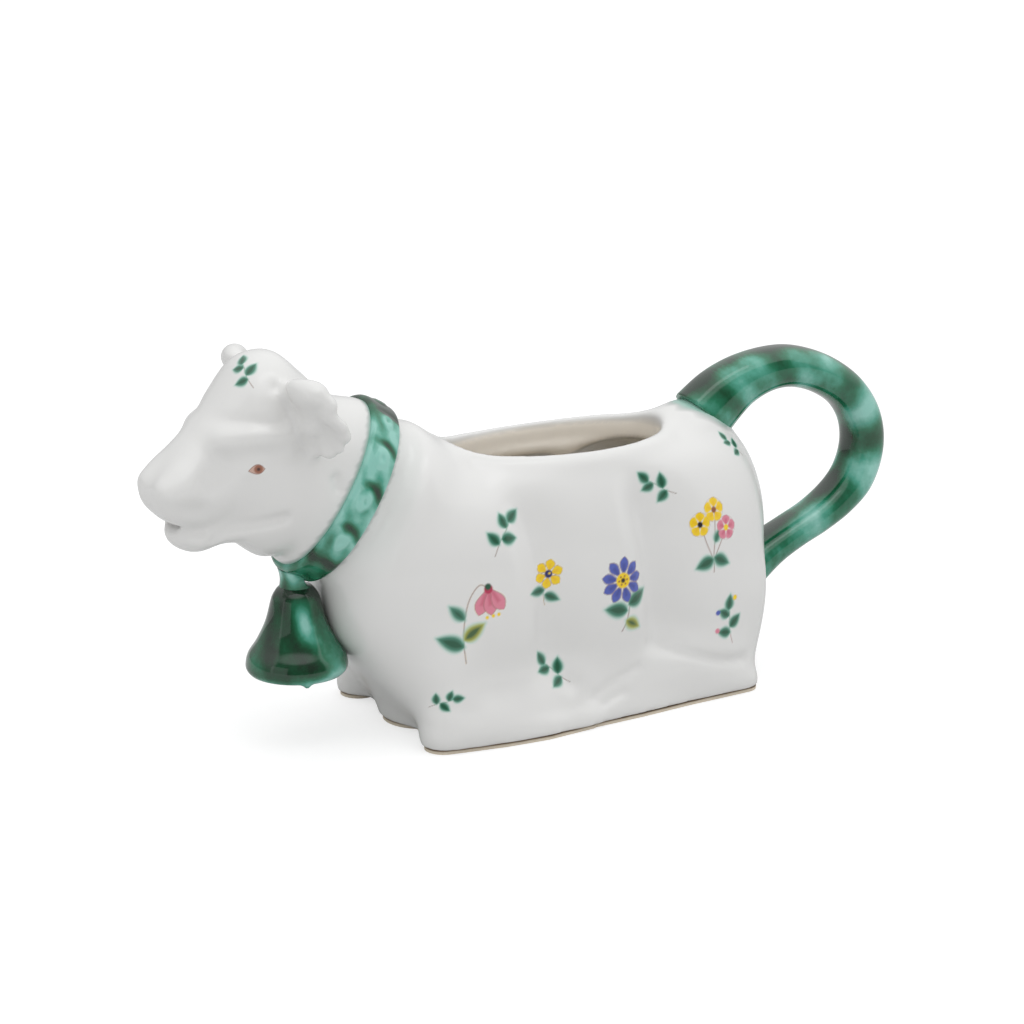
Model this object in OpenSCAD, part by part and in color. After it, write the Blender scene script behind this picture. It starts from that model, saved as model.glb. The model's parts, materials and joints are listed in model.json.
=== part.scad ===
// Cow creamer: a recumbent cow with a filling mouth in its back, a spout at its lips,
// a bell on a collar and a tail that loops down as the handle.
// The cow looks towards -X, rests on z = 0 and its left side faces -Y.

/* [Body] */
// Length of the trunk from chest to rump
body_l = 92; // [80:1:104]
// Width of the trunk at the flanks
body_w = 43; // [37:0.5:49]
// Height of the back at the middle of the filling mouth
back_h = 53; // [47:0.5:59]
// Thickness of the fired wall
wall = 3.4; // [2.8:0.1:4]
// Depth of the two waists that part shoulder, belly and haunch
waist_depth = 1.9; // [0.5:0.1:2.5]
// Height of the unglazed foot
foot_h = 0.8; // [0.5:0.1:1.5]
// Step from the glaze edge in to the unglazed foot
foot_step = 0.35; // [0.2:0.05:0.6]

/* [Filling mouth] */
// Length of the filling mouth
mouth_l = 48.5; // [40:0.5:52]
// Width of the filling mouth
mouth_w = 23; // [18:0.5:26]
// Radius of the rolled lip round the mouth
lip_r = 1.5; // [1.2:0.1:1.8]

/* [Neck and head] */
// Height of the neck across the collar
neck_h = 35; // [32:0.5:38]
// Width of the neck across the collar
neck_w = 24; // [21:0.5:27]
// Height of the collar's centre above the table
neck_z = 49.8; // [47:0.1:53]
// Distance of the collar's centre in front of the trunk's centre
neck_x = 49.1; // [47:0.1:53]
// Lean of the collar from upright
collar_lean = 30.7; // [26:0.5:35]
// Reach of the head from the collar's centre to the nose
head_reach = 38.9; // [34:0.1:44]
// Rise of the crown above the collar's centre
head_rise = 29.3; // [25:0.1:33]
// Width of the head across the cheeks
head_w = 24.5; // [21:0.5:28]
// Height of the spout's slot between the lips
spout_h = 2.6; // [2:0.1:3]
// Width of the spout's slot
spout_w = 8; // [6:0.5:9]
// Span over both ears
ear_span = 45; // [40:0.5:50]
// Height of an ear
ear_h = 12.5; // [10:0.5:15]
// Thickness of an ear
ear_t = 2.8; // [2.2:0.1:3.4]

/* [Collar and bell] */
// Width of the collar's band
collar_w = 6.6; // [5:0.1:8]
// Height of the collar above the neck
collar_t = 1.3; // [0.9:0.1:1.8]
// Number of embossed scallops round the collar
scallops = 22; // [14:1:30]
// Radius of the bell's lip
bell_r = 10; // [8:0.1:11]
// Height of the bell
bell_h = 17.2; // [14:0.1:18]
// Thickness of the bell's wall
bell_wall = 1.8; // [1.4:0.1:2.4]
// Radius of the bell's neck
bell_neck_r = 3.2; // [2.6:0.1:3.8]
// Radius of the clapper's ball
clapper_r = 1.7; // [1.4:0.1:2.2]

/* [Tail handle] */
// Reach of the tail's loop behind the rump's top
tail_reach = 40; // [34:0.5:46]
// Height of the tail's loop
tail_h = 45; // [40:0.5:50]
// Thickness of the tail in the plane of the loop
tail_t = 9.2; // [7.5:0.1:10.5]
// Width of the tail across the loop
tail_w = 10.6; // [8.5:0.1:12]

/* [Legs] */
// Length of the folded legs together, along the foot
base_l = 78.5; // [72:0.5:84]
// Distance over the folded legs
base_w = 50; // [46:0.5:54]
// Thickness of a folded leg
leg_t = 6.4; // [5:0.2:8]

/* [Hidden] */
over = 0.5;          // overrun of cuts
ring_n = 40;         // points in one ring of a lofted form
trunk_n = 80;        // points in one ring of the trunk
lip_n = 36;          // beads round the filling mouth
lip_fn = 8;          // facets of those beads
bead_fn = 10;        // facets of the small balls that are hulled
limb_fn = 14;        // facets of the legs' masses
ball_fn = 24;        // facets of larger balls
foot_fn = 48;        // facets of the foot's round front
turn_fn = 96;        // facets of turned pieces
half_l = body_l / 2;
half_w = body_w / 2;

// Colours of the glazes and of the bare clay
white_glaze = [0.93, 0.93, 0.91];
green_glaze = [0.10, 0.45, 0.35];
bare_clay = [0.76, 0.62, 0.45];

// Shapes that several pieces share

// A point of a unit oval at an angle, squarer as n grows past 2
function rounded(t, n) = [cos(t), sin(t)] / pow(pow(abs(cos(t)), n) + pow(abs(sin(t)), n), 1 / n);

// An oval ring about a centre, with a half-height vector and a half-width along Y, and no corner
// in the plane of symmetry
function oval(c, up, w, n = 2) = [for (i = [0:ring_n - 1])
    let (q = rounded(360 * (i + 0.5) / ring_n, n)) c + up * q.x + [0, w * q.y, 0]];

// A ring between an upper and a lower point of a side profile, drawn in by a wall's thickness
function profile_ring(upper, lower, w, n = 2, inset = 0) =
    let (half = (upper - lower) / 2, len = norm(half))
    oval([(upper.x + lower.x) / 2, 0, (upper.y + lower.y) / 2],
         [half.x, 0, half.y] * (len - inset) / len, w - inset, n);

// A closed skin over rings of equal count that faces outwards: capped at both ends, or a hoop
// whose last ring meets the first
module loft(rings, hoop = false) {
    n = len(rings[0]);
    m = len(rings);
    flat = [for (r = rings) each r];
    points = hoop ? flat : concat(flat, [centre(rings[0]), centre(rings[m - 1])]);
    sides = [for (k = [0:hoop ? m - 1 : m - 2], i = [0:n - 1])
        let (j = (i + 1) % n, a = k * n, b = (k + 1) % m * n)
        each [[a + i, b + j, a + j], [a + i, b + i, b + j]]];
    caps = [for (i = [0:n - 1]) let (j = (i + 1) % n, top = (m - 1) * n)
        each [[m * n, i, j], [m * n + 1, top + j, top + i]]];
    faces = hoop ? sides : concat(sides, caps);
    turns = [for (f = faces) points[f.x] * cross(points[f.y], points[f.z])] * [for (f = faces) 1];
    polyhedron(points = points, faces = turns < 0 ? faces : [for (f = faces) [f.x, f.z, f.y]],
        convexity = 6);
}

// The middle of a ring
function centre(r) = [for (p = r) 1] * r / len(r);

// A ball of triangles: rings of corners, each turned by half a step against the last, and two
// poles. Only the poles touch the plane of symmetry
module ball(r, fn = bead_fn) {
    m = fn / 2 - 1;
    points = concat([[0, 0, r], [0, 0, -r]], [for (k = [0:m - 1], j = [0:fn - 1])
        let (p = 180 * (k + 1) / (m + 1), a = (j + 0.25 + (k % 2) / 2) * 360 / fn)
        r * [sin(p) * cos(a), sin(p) * sin(a), cos(p)]]);
    hull() polyhedron(points = points, faces = [[for (i = [0:len(points) - 1]) i]]);
}

// A limb: balls hulled pair by pair along a path of [x, y, z, radius]
module limb(path, fn = bead_fn) {
    for (i = [0:len(path) - 2]) hull() for (k = [i, i + 1])
        translate([path[k].x, path[k].y, path[k].z]) ball(path[k][3], fn);
}

// Mirrors its child to the cow's left, -Y, or right, +Y
module side(s) { if (s < 0) children(); else mirror([0, 1, 0]) children(); }

// Everything above the foot's glaze edge
module above_foot() {
    translate([-body_l, -body_w, foot_h]) cube([2 * body_l, 2 * body_w, 2 * back_h]);
}

// Trunk

// Level rings: height, front, back and half-width as shares of the back's height and of the
// half length and width, and how square the ring is
trunk_shares = [
    [0.00, 0.77, 0.855, 0.74, 5.5], [0.09, 0.84, 0.89, 0.80, 5.0], [0.23, 0.965, 0.94, 0.892, 4.6],
    [0.38, 1.055, 0.965, 0.99, 4.0], [0.53, 1.095, 0.975, 1.00, 3.3], [0.68, 1.08, 0.985, 0.97, 3.0],
    [0.79, 0.98, 0.97, 0.91, 2.8], [0.88, 0.84, 0.935, 0.83, 2.6], [0.94, 0.73, 0.87, 0.75, 2.5],
    [0.98, 0.66, 0.78, 0.67, 2.4], [1.00, 0.60, 0.70, 0.60, 2.4]];
waist_shares = [-0.27, 0.32];     // places of the waists along the half length
waist_width_share = 0.11;         // their width, of the half length
low_share = 0.38;                 // below this share of the height the flanks follow the legs

function waist(x) = let (w = waist_width_share * half_l)
    exp(-pow((x - waist_shares[0] * half_l) / w, 2)) +
    exp(-pow((x - waist_shares[1] * half_l) / w, 2));

function trunk_ring(s, inset) = let (
    front = -s[1] * half_l + inset, back = s[2] * half_l - inset,
    w = s[3] * (half_w + (base_w / 2 - half_w) * max(0, 1 - s[0] / low_share)) - inset,
    cx = (front + back) / 2, a = (back - front) / 2)
    [for (i = [0:trunk_n - 1]) let (q = rounded(360 * (i + 0.5) / trunk_n, s[4]),
        x = cx + a * q.x, pinch = 1 - waist_depth / w * waist(x))
        [x, w * q.y * pinch, s[0] * (back_h - inset)]];

module trunk(inset = 0) { loft([for (s = trunk_shares) trunk_ring(s, inset)]); }

// The hump under the tail's root, behind the filling mouth
hump_share = [0.675, 0, 0.93];
hump_size_share = [0.205, 0.40, 0.165];
module tail_hump() {
    translate([hump_share.x * half_l, 0, hump_share.z * back_h])
        scale([hump_size_share.x * half_l, hump_size_share.y * half_w, hump_size_share.z * back_h])
            ball(1, ring_n);
}

// Neck

lean = [-cos(collar_lean), 0, sin(collar_lean)];      // the way that the neck points
across = [sin(collar_lean), 0, cos(collar_lean)];     // up along the collar
neck_c = [-neck_x, 0, neck_z];

neck_square = 2.1;                                    // how square the neck is

// A ring of the neck at a distance in front of the collar's centre
function neck_ring(d = 0, grow = 0) =
    oval(neck_c + lean * d, across * (neck_h / 2 + grow), neck_w / 2 + grow, neck_square);

// Side profile behind the collar: upper x, z and lower x, z as shares of the half length and
// the back's height, and the half-width as a share of the trunk's
neck_shares = [[-0.30, 0.80, -0.50, 0.10, 0.85], [-0.545, 1.04, -1.03, 0.33, 0.84],
               [-0.70, 1.15, -1.122, 0.50, 0.74]];

module neck(inset = 0, end = 0) {
    loft(concat([for (s = neck_shares) profile_ring([s[0] * half_l, s[1] * back_h],
        [s[2] * half_l, s[3] * back_h], s[4] * half_w, 2.2, inset)],
        [neck_ring(-collar_w, -inset), neck_ring(end, -inset)]));
}

// Filling mouth: an egg with its blunt end to the rump
mouth_x = -0.025 * half_l;
egg_share = 0.13;
function mouth_point(t, grow = 0) = [mouth_x + (mouth_l / 2 + grow) * cos(t),
    (mouth_w / 2 + grow) * sin(t) * (1 + egg_share * cos(t))];

// Height of the lip along the mouth, which climbs towards the neck and the tail
lip_rise_shares = [0.055, 0.03];
lip_sink_share = 0.6;             // how deep the lip's bead sits in the back, of its radius
function lip_z(t) = back_h - lip_r * lip_sink_share
    + back_h * lip_rise_shares[0] * pow(max(0, -cos(t)), 3)
    + back_h * lip_rise_shares[1] * pow(max(0, cos(t)), 3);

module mouth_cut() {
    translate([0, 0, back_h / 2]) linear_extrude(back_h)
        polygon([for (i = [0:ring_n - 1]) mouth_point(360 * i / ring_n)]);
}

module mouth_lip() {
    limb([for (i = [0:lip_n]) let (t = 360 * i / lip_n, p = mouth_point(t, lip_r))
        [p.x, p.y, lip_z(t), lip_r]], lip_fn);
}

// The brisket between the forelegs, from its toe on the foot up into the chest
brisket_shares = [[0.665, 0.00], [0.68, 0.16], [0.77, 0.34], [0.84, 0.50]];
brisket_r_share = 0.38;
brisket_r = brisket_r_share * half_w;
module brisket() {
    for (i = [0:len(brisket_shares) - 2]) hull() for (k = [i, i + 1])
        translate([-brisket_shares[k][0] * half_l, 0, brisket_shares[k][1] * back_h])
            ball(brisket_r, ball_fn);
}

module trunk_solid() {
    trunk();
    tail_hump();
    neck();
    brisket();
    mouth_lip();
}

// The hollow of trunk and neck, with its floor one wall above the foot and its front end past
// the joint with the head
module trunk_hollow() {
    intersection() {
        union() { trunk(wall); neck(wall, over); }
        translate([-body_l, -body_w, foot_h + wall]) cube([2 * body_l, 2 * body_w, 2 * back_h]);
    }
}

module body_shell() color(white_glaze) {
    difference() {
        trunk_solid();
        trunk_hollow();
        mouth_cut();
        translate([-body_l, -body_w, foot_h - back_h]) cube([2 * body_l, 2 * body_w, back_h]);
    }
}

// Head

// Side profile in front of the collar: upper x, z and lower x, z as shares of the head's reach
// and rise, the half-width as a share of the head's, and how square the ring is
head_shares = [
    [0.05, 0.655, 0.35, -0.39, 1.00, 2.1], [0.20, 0.84, 0.44, -0.365, 1.03, 2.1],
    [0.33, 0.98, 0.53, -0.27, 0.98, 2.2], [0.48, 0.96, 0.59, -0.16, 0.90, 2.3],
    [0.58, 0.82, 0.64, -0.12, 0.82, 2.3], [0.66, 0.68, 0.70, -0.12, 0.75, 2.3],
    [0.74, 0.54, 0.76, -0.125, 0.70, 2.3], [0.83, 0.47, 0.83, -0.11, 0.69, 2.4],
    [0.92, 0.37, 0.90, -0.07, 0.66, 2.5], [0.985, 0.25, 0.965, 0.00, 0.54, 2.4],
    [1.00, 0.15, 0.995, 0.07, 0.34, 2.2]];

straight_share = 0.6;      // how far the head goes on straight under the collar, of its width

// A point of the head's side, from shares of its reach and rise
function head_at(x, z) = [-neck_x - x * head_reach, neck_z + z * head_rise];

function head_rings(inset = 0, n = len(head_shares)) = concat(
    [neck_ring(0, -inset), neck_ring(collar_w * straight_share, -inset)],
    [for (i = [0:n - 1]) let (s = head_shares[i])
        profile_ring(head_at(s[0], s[1]), head_at(s[2], s[3]), s[4] * head_w / 2, s[5], inset)]);

// A ball on the head, from shares of its reach, half-width, rise and width
function head_ball(x, y, z, r) = let (p = head_at(x, z)) [p.x, y * head_w / 2, p.y, r * head_w];

// Chin and lower lip under the spout, narrowing back into the jaw: place along the head,
// half-width, height and thickness, as shares of its reach, half-width, rise and width
jaw_shares = [[0.46, 0.74, -0.11, 0.17], [0.62, 0.56, -0.11, 0.13], [0.76, 0.43, -0.185, 0.115],
              [0.835, 0.36, -0.15, 0.10]];
module lower_jaw() {
    for (i = [0:len(jaw_shares) - 2]) hull() for (k = [i, i + 1])
        let (j = jaw_shares[k], b = head_ball(j[0], 0, j[2], j[3]))
            translate([b.x, 0, b.z]) scale([1, j[1] * head_w / 2 / b[3], 1]) ball(b[3], limb_fn);
}

// Rounded ridges over the eyes and beside the nostrils
brow_shares = [[0.40, 0.68, 0.51, 0.12], [0.52, 0.66, 0.50, 0.125], [0.62, 0.56, 0.46, 0.11]];
nostril_shares = [[0.84, 0.36, 0.20, 0.14], [0.92, 0.34, 0.14, 0.13]];
module face_ridges() {
    for (s = [-1, 1], ridge = [brow_shares, nostril_shares])
        limb([for (q = ridge) head_ball(q[0], s * q[1], q[2], q[3])]);
}

module head_solid() {
    loft(head_rings());
    lower_jaw();
    face_ridges();
}

hollow_stations = 8;       // stations of the head that the hollow reaches
module head_hollow() {
    loft(concat([neck_ring(-over, -wall)], head_rings(wall, hollow_stations)));
}

// The slot through which the milk pours, under the upper lip
spout_shares = [[0.66, 0.16], [0.95, -0.14]];       // its two ends, of the head's reach and rise
module spout() {
    w = (spout_w - spout_h) / 2;
    hull() for (q = spout_shares, s = [-1, 1]) let (p = head_at(q.x, q.y))
        translate([p.x, s * w, p.y]) ball(spout_h / 2, limb_fn);
}

module head_shell() color(white_glaze) {
    difference() {
        head_solid();
        head_hollow();
        spout();
    }
}

// Ears

// Edge of an ear: reach back, span outwards and height as shares of the ear's own sizes
ear_shares = [[0.30, 0.10, 0.60], [0.42, 0.55, 0.91], [0.20, 0.86, 0.97], [-0.10, 1.00, 0.74],
              [-0.34, 1.00, 0.38], [-0.36, 0.84, 0.08], [-0.20, 0.55, 0.00], [0.06, 0.10, 0.12]];
ear_root_shares = [0.25, 0.375];         // place on the head, of its reach and rise
ear_out = (ear_span - head_w) / 2;       // how far an ear stands out
ear_heart_shares = [0.02, 0.50, 0.48];

function ear_ball(s, r) = let (p = head_at(ear_root_shares.x, ear_root_shares.y))
    [p.x - s.x * ear_h, -head_w / 2 + ear_t - s.y * (ear_out + ear_t / 2), p.y + s.z * ear_h, r];

module ear() {
    n = len(ear_shares);
    difference() {
        for (i = [0:n - 1]) hull() for (p = [ear_ball(ear_shares[i], ear_t / 2),
            ear_ball(ear_shares[(i + 1) % n], ear_t / 2), ear_ball(ear_heart_shares, ear_t / 3)])
            translate([p.x, p.y, p.z]) ball(p[3]);
        head_solid();
    }
}

module ear_left() color(white_glaze) ear();
module ear_right() color(white_glaze) side(1) ear();

// Folded legs, as paths of x, y and z in shares of half the base's length and width and of a
// leg's thickness, with radii in shares of that thickness
fore_upper_shares = [[-0.88, 0.69, 0.70, 0.73], [-0.87, 0.66, 2.10, 0.78], [-0.82, 0.56, 3.20, 0.78]];
fore_lower_shares = [[-0.87, 0.75, 0.70, 0.60], [-0.70, 0.83, 0.85, 0.54], [-0.50, 0.85, 1.05, 0.48],
                     [-0.30, 0.81, 1.30, 0.46]];
fore_hoof_shares = [[-0.90, 0.75, 0.30, 0.66], [-0.62, 0.865, 0.25, 0.45], [-0.38, 0.885, 0.22, 0.43],
                    [-0.12, 0.84, 0.20, 0.40]];
hind_thigh_shares = [[0.34, 0.69, 1.45, 0.58], [0.55, 0.67, 1.40, 0.62], [0.78, 0.63, 1.20, 0.64]];
hind_shank_shares = [[0.02, 0.79, 0.50, 0.42], [0.22, 0.765, 0.90, 0.48], [0.45, 0.72, 0.90, 0.54],
                     [0.70, 0.685, 0.66, 0.56], [0.87, 0.65, 0.42, 0.58]];
hind_hoof_shares = [[-0.16, 0.83, 0.20, 0.40], [0.20, 0.785, 0.24, 0.42], [0.50, 0.72, 0.26, 0.45],
                    [0.88, 0.63, 0.26, 0.62]];

function leg_path(shares) = [for (s = shares)
    [s[0] * base_l / 2, -s[1] * base_w / 2, foot_h + s[2] * leg_t, s[3] * leg_t]];

// A leg's masses, the last of them with upright sides down through the foot
module leg_masses(paths) {
    for (p = paths) {
        q = leg_path(p);
        for (i = [0:len(q) - 2]) hull() for (k = [i, i + 1]) {
            translate([q[k].x, q[k].y, q[k].z]) ball(q[k][3], limb_fn);
            if (p == paths[len(paths) - 1] || k + i == 0)
                translate([q[k].x, q[k].y, 0])
                    cylinder(r = q[k][3], h = 2 * foot_h, $fn = limb_fn);
        }
    }
}
fore_paths = [fore_upper_shares, fore_lower_shares, fore_hoof_shares];
hind_paths = [hind_thigh_shares, hind_shank_shares, hind_hoof_shares];

// The cow's left hind leg, and its left foreleg, which stops at the hind hoof
module hindleg() {
    intersection() {
        difference() { leg_masses(hind_paths); trunk_solid(); }
        above_foot();
    }
}

module foreleg() {
    intersection() {
        difference() { leg_masses(fore_paths); leg_masses(hind_paths); trunk_solid(); }
        above_foot();
    }
}

module foreleg_left() color(white_glaze) foreleg();
module foreleg_right() color(white_glaze) side(1) foreleg();
module hindleg_left() color(white_glaze) hindleg();
module hindleg_right() color(white_glaze) side(1) hindleg();

// Foot: the unglazed plate that the creamer rests on
module foot_outline() {
    polygon([for (p = trunk_ring(trunk_shares[0], 0)) [p.x, p.y]]);
    translate([-brisket_shares[0][0] * half_l, 0]) circle(r = brisket_r, $fn = foot_fn);
    for (s = [-1, 1], path = [fore_hoof_shares, hind_hoof_shares], q = [leg_path(path)],
         i = [0:len(q) - 2])
        hull() for (k = [i, i + 1]) translate([q[k].x, s * q[k].y]) circle(r = q[k][3], $fn = ball_fn);
}

module bare_foot() color(bare_clay) {
    linear_extrude(foot_h) offset(delta = -foot_step) foot_outline();
}

// Collar

// Section of the band, inside left out: place along the neck and height, as shares of the band's
// width and height, and how much of the embossing it takes
collar_shares = [[-0.5, 0.75, 0], [-0.42, 1, 0.3], [-0.22, 1, 1], [0, 1, 1], [0.22, 1, 1],
                 [0.42, 1, 0.3], [0.5, 0.75, 0]];
emboss_share = 0.4;               // height of the scallops, of the band's
emboss_lean = 150;                // how far a scallop leans over the band's width, in its own turn
plain_angle = 34;                 // the band is plain this far either side of the bell's stub
collar_steps = 3;                 // angles round the band for each side of the neck's ring

// Height of the embossing at an angle round the band, in leaning waves
function emboss(t, d) = emboss_share * min(1, max(0, abs(t - 180) / plain_angle - 1))
    * (0.5 + 0.5 * cos(scallops * t + emboss_lean * d));

// A point over the neck at an angle round it, at a place along it and a height above it
function band_point(t, d, out) = let (q = rounded(t, neck_square))
    neck_c + lean * d + across * (neck_h / 2 + out) * q.x + [0, (neck_w / 2 + out) * q.y, 0];

// A point on the neck itself, part of the way along one side of its ring
function seat_point(i, d) = let (q = (i - (collar_steps - 1) / 2) / collar_steps, k = floor(q),
    a = [for (j = [k, k + 1]) band_point(360 * (j + 0.5) / ring_n, d, 0)])
    a[0] + (a[1] - a[0]) * (q - k);

module collar() color(green_glaze) {
    n = ring_n * collar_steps;
    loft([for (i = [0:n - 1]) let (t = 360 * (i + 0.5) / n) concat(
        [seat_point(i, -collar_w / 2)],
        [for (s = collar_shares)
            band_point(t, s[0] * collar_w, collar_t * (s[1] + s[2] * emboss(t, s[0])))],
        [seat_point(i, collar_w / 2)])], true);
}

// Bell
bell_c = neck_c - across * (neck_h / 2 + collar_t);     // lowest point of the collar
bell_back_share = 0.3;            // how far the bell hangs behind it, of the bell's neck
loop_share = 0.35;                // length of the stub, of the band's width
bell_x = bell_c.x + bell_neck_r * bell_back_share;
bell_top = bell_c.z - collar_w * loop_share;
bell_z = bell_top - bell_h;

// Outer radius and height of the bell as shares of its lip radius and height
bell_shares = [[0.93, 0.00], [0.985, 0.04], [1.00, 0.10], [0.95, 0.215], [0.78, 0.37],
               [0.605, 0.587], [0.495, 0.825], [0.45, 0.90], [0.38, 0.965], [0.32, 1.00]];
crown_stations = 3;               // stations that make the solid crown

module bell() color(green_glaze) {
    outer = [for (s = bell_shares) [s[0] * bell_r, s[1] * bell_h]];
    inner = [for (i = [len(bell_shares) - crown_stations:-1:0])
        [bell_shares[i][0] * bell_r - bell_wall, bell_shares[i][1] * (bell_h - bell_wall)]];
    translate([bell_x, 0, bell_z]) rotate_extrude($fn = turn_fn)
        polygon(concat(outer, [[0, bell_h], [0, inner[0].y]], inner));
}

// A point on the underside of the plain band, from how far it is ahead of and beside the lowest
function under_band(x, y) = let (w = neck_w / 2 + collar_t, h = neck_h / 2 + collar_t,
    u = -h * pow(1 - pow(abs(y) / w, neck_square), 1 / neck_square),
    d = (x - across.x * (u + h)) / lean.x)
    neck_c + lean * d + across * u + [0, y, 0];

// The stub that joins the bell to the collar: from the bell's top to rings that lie on the band
loop_top_share = [0.4, 0.33];     // half-length on the band and half-width, of the band's and neck's
loop_ring_shares = [1, 0.66, 0.33];
module bell_loop() color(green_glaze) {
    loft(concat([[for (i = [0:ring_n - 1]) let (t = 360 * (i + 0.5) / ring_n)
        [bell_x + bell_neck_r * cos(t), bell_neck_r * sin(t), bell_top]]],
        [for (k = loop_ring_shares) [for (i = [0:ring_n - 1]) let (t = 360 * (i + 0.5) / ring_n)
            under_band(-k * loop_top_share.x * collar_w * lean.x * cos(t),
                k * loop_top_share.y * neck_w / 2 * sin(t))]]));
}

// Clapper: a ball on a short stem under the bell's crown, one radius towards the chest
clapper_drop_share = 0.75;        // how far the ball reaches below the lip, of its radius
stem_share = 0.45;                // radius of the stem, of the ball's
module clapper() color(green_glaze) {
    z = bell_z + clapper_r * (1 - clapper_drop_share);
    top = bell_z + (bell_h - bell_wall) * bell_shares[len(bell_shares) - crown_stations][1];
    translate([bell_x + clapper_r, 0, 0]) union() {
        translate([0, 0, z]) sphere(r = clapper_r, $fn = limb_fn * 2);
        translate([0, 0, z]) cylinder(r = clapper_r * stem_share, h = top - z, $fn = ball_fn);
    }
}

// Tail

// Stations of the loop: x and z as shares of its reach and height, measured from the lower root,
// and thickness and width as shares of the tail's
tail_shares = [
    [-0.22, 0.86, 1.45, 1.15], [-0.10, 0.95, 1.32, 1.08], [0.02, 1.01, 1.14, 1.02],
    [0.16, 1.045, 1.00, 1.0], [0.30, 1.05, 0.95, 1.0], [0.44, 1.02, 0.92, 1.0],
    [0.57, 0.965, 0.90, 1.0], [0.68, 0.89, 0.88, 1.0], [0.76, 0.79, 0.89, 1.0],
    [0.795, 0.68, 0.91, 1.0], [0.785, 0.57, 0.91, 1.0], [0.73, 0.46, 0.90, 1.0],
    [0.63, 0.375, 0.84, 0.98], [0.50, 0.305, 0.78, 0.96], [0.36, 0.25, 0.76, 0.96],
    [0.22, 0.19, 0.80, 1.0], [0.09, 0.115, 0.92, 1.05], [-0.02, 0.04, 1.05, 1.10]];
tail_root_shares = [0.93, 0.285];    // lower root, of the half length and the back's height

function tail_at(s) = [tail_root_shares.x * half_l + s[0] * tail_reach,
    tail_root_shares.y * back_h + s[1] * tail_h];

function tail_ring(i) = let (n = len(tail_shares), p = tail_at(tail_shares[i]),
    d = tail_at(tail_shares[min(n - 1, i + 1)]) - tail_at(tail_shares[max(0, i - 1)]),
    up = [-d.y, d.x] / norm(d))
    oval([p.x, 0, p.y], [up.x, 0, up.y] * tail_shares[i][2] * tail_t / 2,
         tail_shares[i][3] * tail_w / 2, 2.2);

module tail_handle() color(green_glaze) {
    difference() {
        loft([for (i = [0:len(tail_shares) - 1]) tail_ring(i)]);
        trunk_solid();
    }
}

body_shell();
head_shell();
ear_left();
ear_right();
foreleg_left();
foreleg_right();
hindleg_left();
hindleg_right();
bare_foot();
collar();
bell_loop();
bell();
clapper();
tail_handle();
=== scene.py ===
# Cow creamer: a lying cow in white glaze with small painted flowers, a green collar, bell and tail
import json
import math
import bpy
import bmesh
import numpy as np
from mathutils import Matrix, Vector

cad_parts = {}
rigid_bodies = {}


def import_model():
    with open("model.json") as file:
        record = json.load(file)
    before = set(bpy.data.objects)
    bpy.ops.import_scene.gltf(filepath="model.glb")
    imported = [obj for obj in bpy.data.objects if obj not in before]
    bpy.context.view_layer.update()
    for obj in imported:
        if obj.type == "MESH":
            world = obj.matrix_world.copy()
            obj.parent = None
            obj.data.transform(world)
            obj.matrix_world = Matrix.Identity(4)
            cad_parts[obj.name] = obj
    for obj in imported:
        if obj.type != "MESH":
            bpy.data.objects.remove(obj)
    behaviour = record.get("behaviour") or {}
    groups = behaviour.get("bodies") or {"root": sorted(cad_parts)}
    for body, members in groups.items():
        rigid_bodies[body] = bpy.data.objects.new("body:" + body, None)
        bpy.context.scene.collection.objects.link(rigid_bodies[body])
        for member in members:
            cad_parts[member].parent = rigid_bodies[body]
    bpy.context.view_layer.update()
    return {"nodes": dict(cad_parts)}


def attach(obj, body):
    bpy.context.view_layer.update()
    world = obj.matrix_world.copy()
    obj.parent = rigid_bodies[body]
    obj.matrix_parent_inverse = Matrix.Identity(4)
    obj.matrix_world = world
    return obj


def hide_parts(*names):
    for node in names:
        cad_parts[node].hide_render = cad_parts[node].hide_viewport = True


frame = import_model()
print("frame loaded:", len(frame["nodes"]), "solids")

mm = 0.001          # every table below is in millimetres


# camera, light and floor

cameraView = {"azimuth": -28.765, "elevation": 15.892, "distance": 620.0, "lens": 108.98,
              "target": (-9.762, 0.313, 39.486)}

# where a lamp stands, what it looks at, its two sides and its power
lampPlan = {
    "topStrip": ((0, -160, 470), (-10, 0, 30), (300, 100), 0.10),
    "leftSoft": ((-700, -290, 110), (-40, 0, 25), (500, 500), 0.36),
}
# the white tent round the table: its light, and the gap that the camera looks through, between
# two azimuths from the camera's and up to a height; gapLight is the gap's share of the light
# in reflections, gapGlow its share in all else
tent = {
    "light": 0.47, "towardsRight": 0.16, "towardsTop": 0.76, "tint": (0.99, 0.995, 1.0, 1),
    "gapLight": 0.20, "gapGlow": 0.95, "gapLeft": -52.0, "gapRight": 72.0, "gapTop": 0.69, "edge": 0.05,
    "topEdge": 0.04,
}
# the floor is part paper, which takes the shadow, and part plain glow
floorLook = {"half": 2500, "shade": 0.75, "glow": 2.55, "paper": (0.66, 0.66, 0.66, 1)}


# a camera or lamp at a place, looking along a way
def aimed(name, data, place, way):
    obj = bpy.data.objects.new(name, data)
    obj.location = place * mm
    obj.rotation_mode = "QUATERNION"
    obj.rotation_quaternion = way.to_track_quat("-Z", "Y")
    bpy.context.scene.collection.objects.link(obj)
    return obj


def setCamera():
    data = bpy.data.cameras.new("camera")
    data.lens, data.sensor_width = cameraView["lens"], 36
    data.clip_start, data.clip_end = 0.05, 20
    a, e = math.radians(cameraView["azimuth"]), math.radians(cameraView["elevation"])
    back = Vector((math.sin(a) * math.cos(e), -math.cos(a) * math.cos(e), math.sin(e)))
    place = Vector(cameraView["target"]) + back * cameraView["distance"]
    bpy.context.scene.camera = aimed("camera", data, place, -back)


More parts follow.
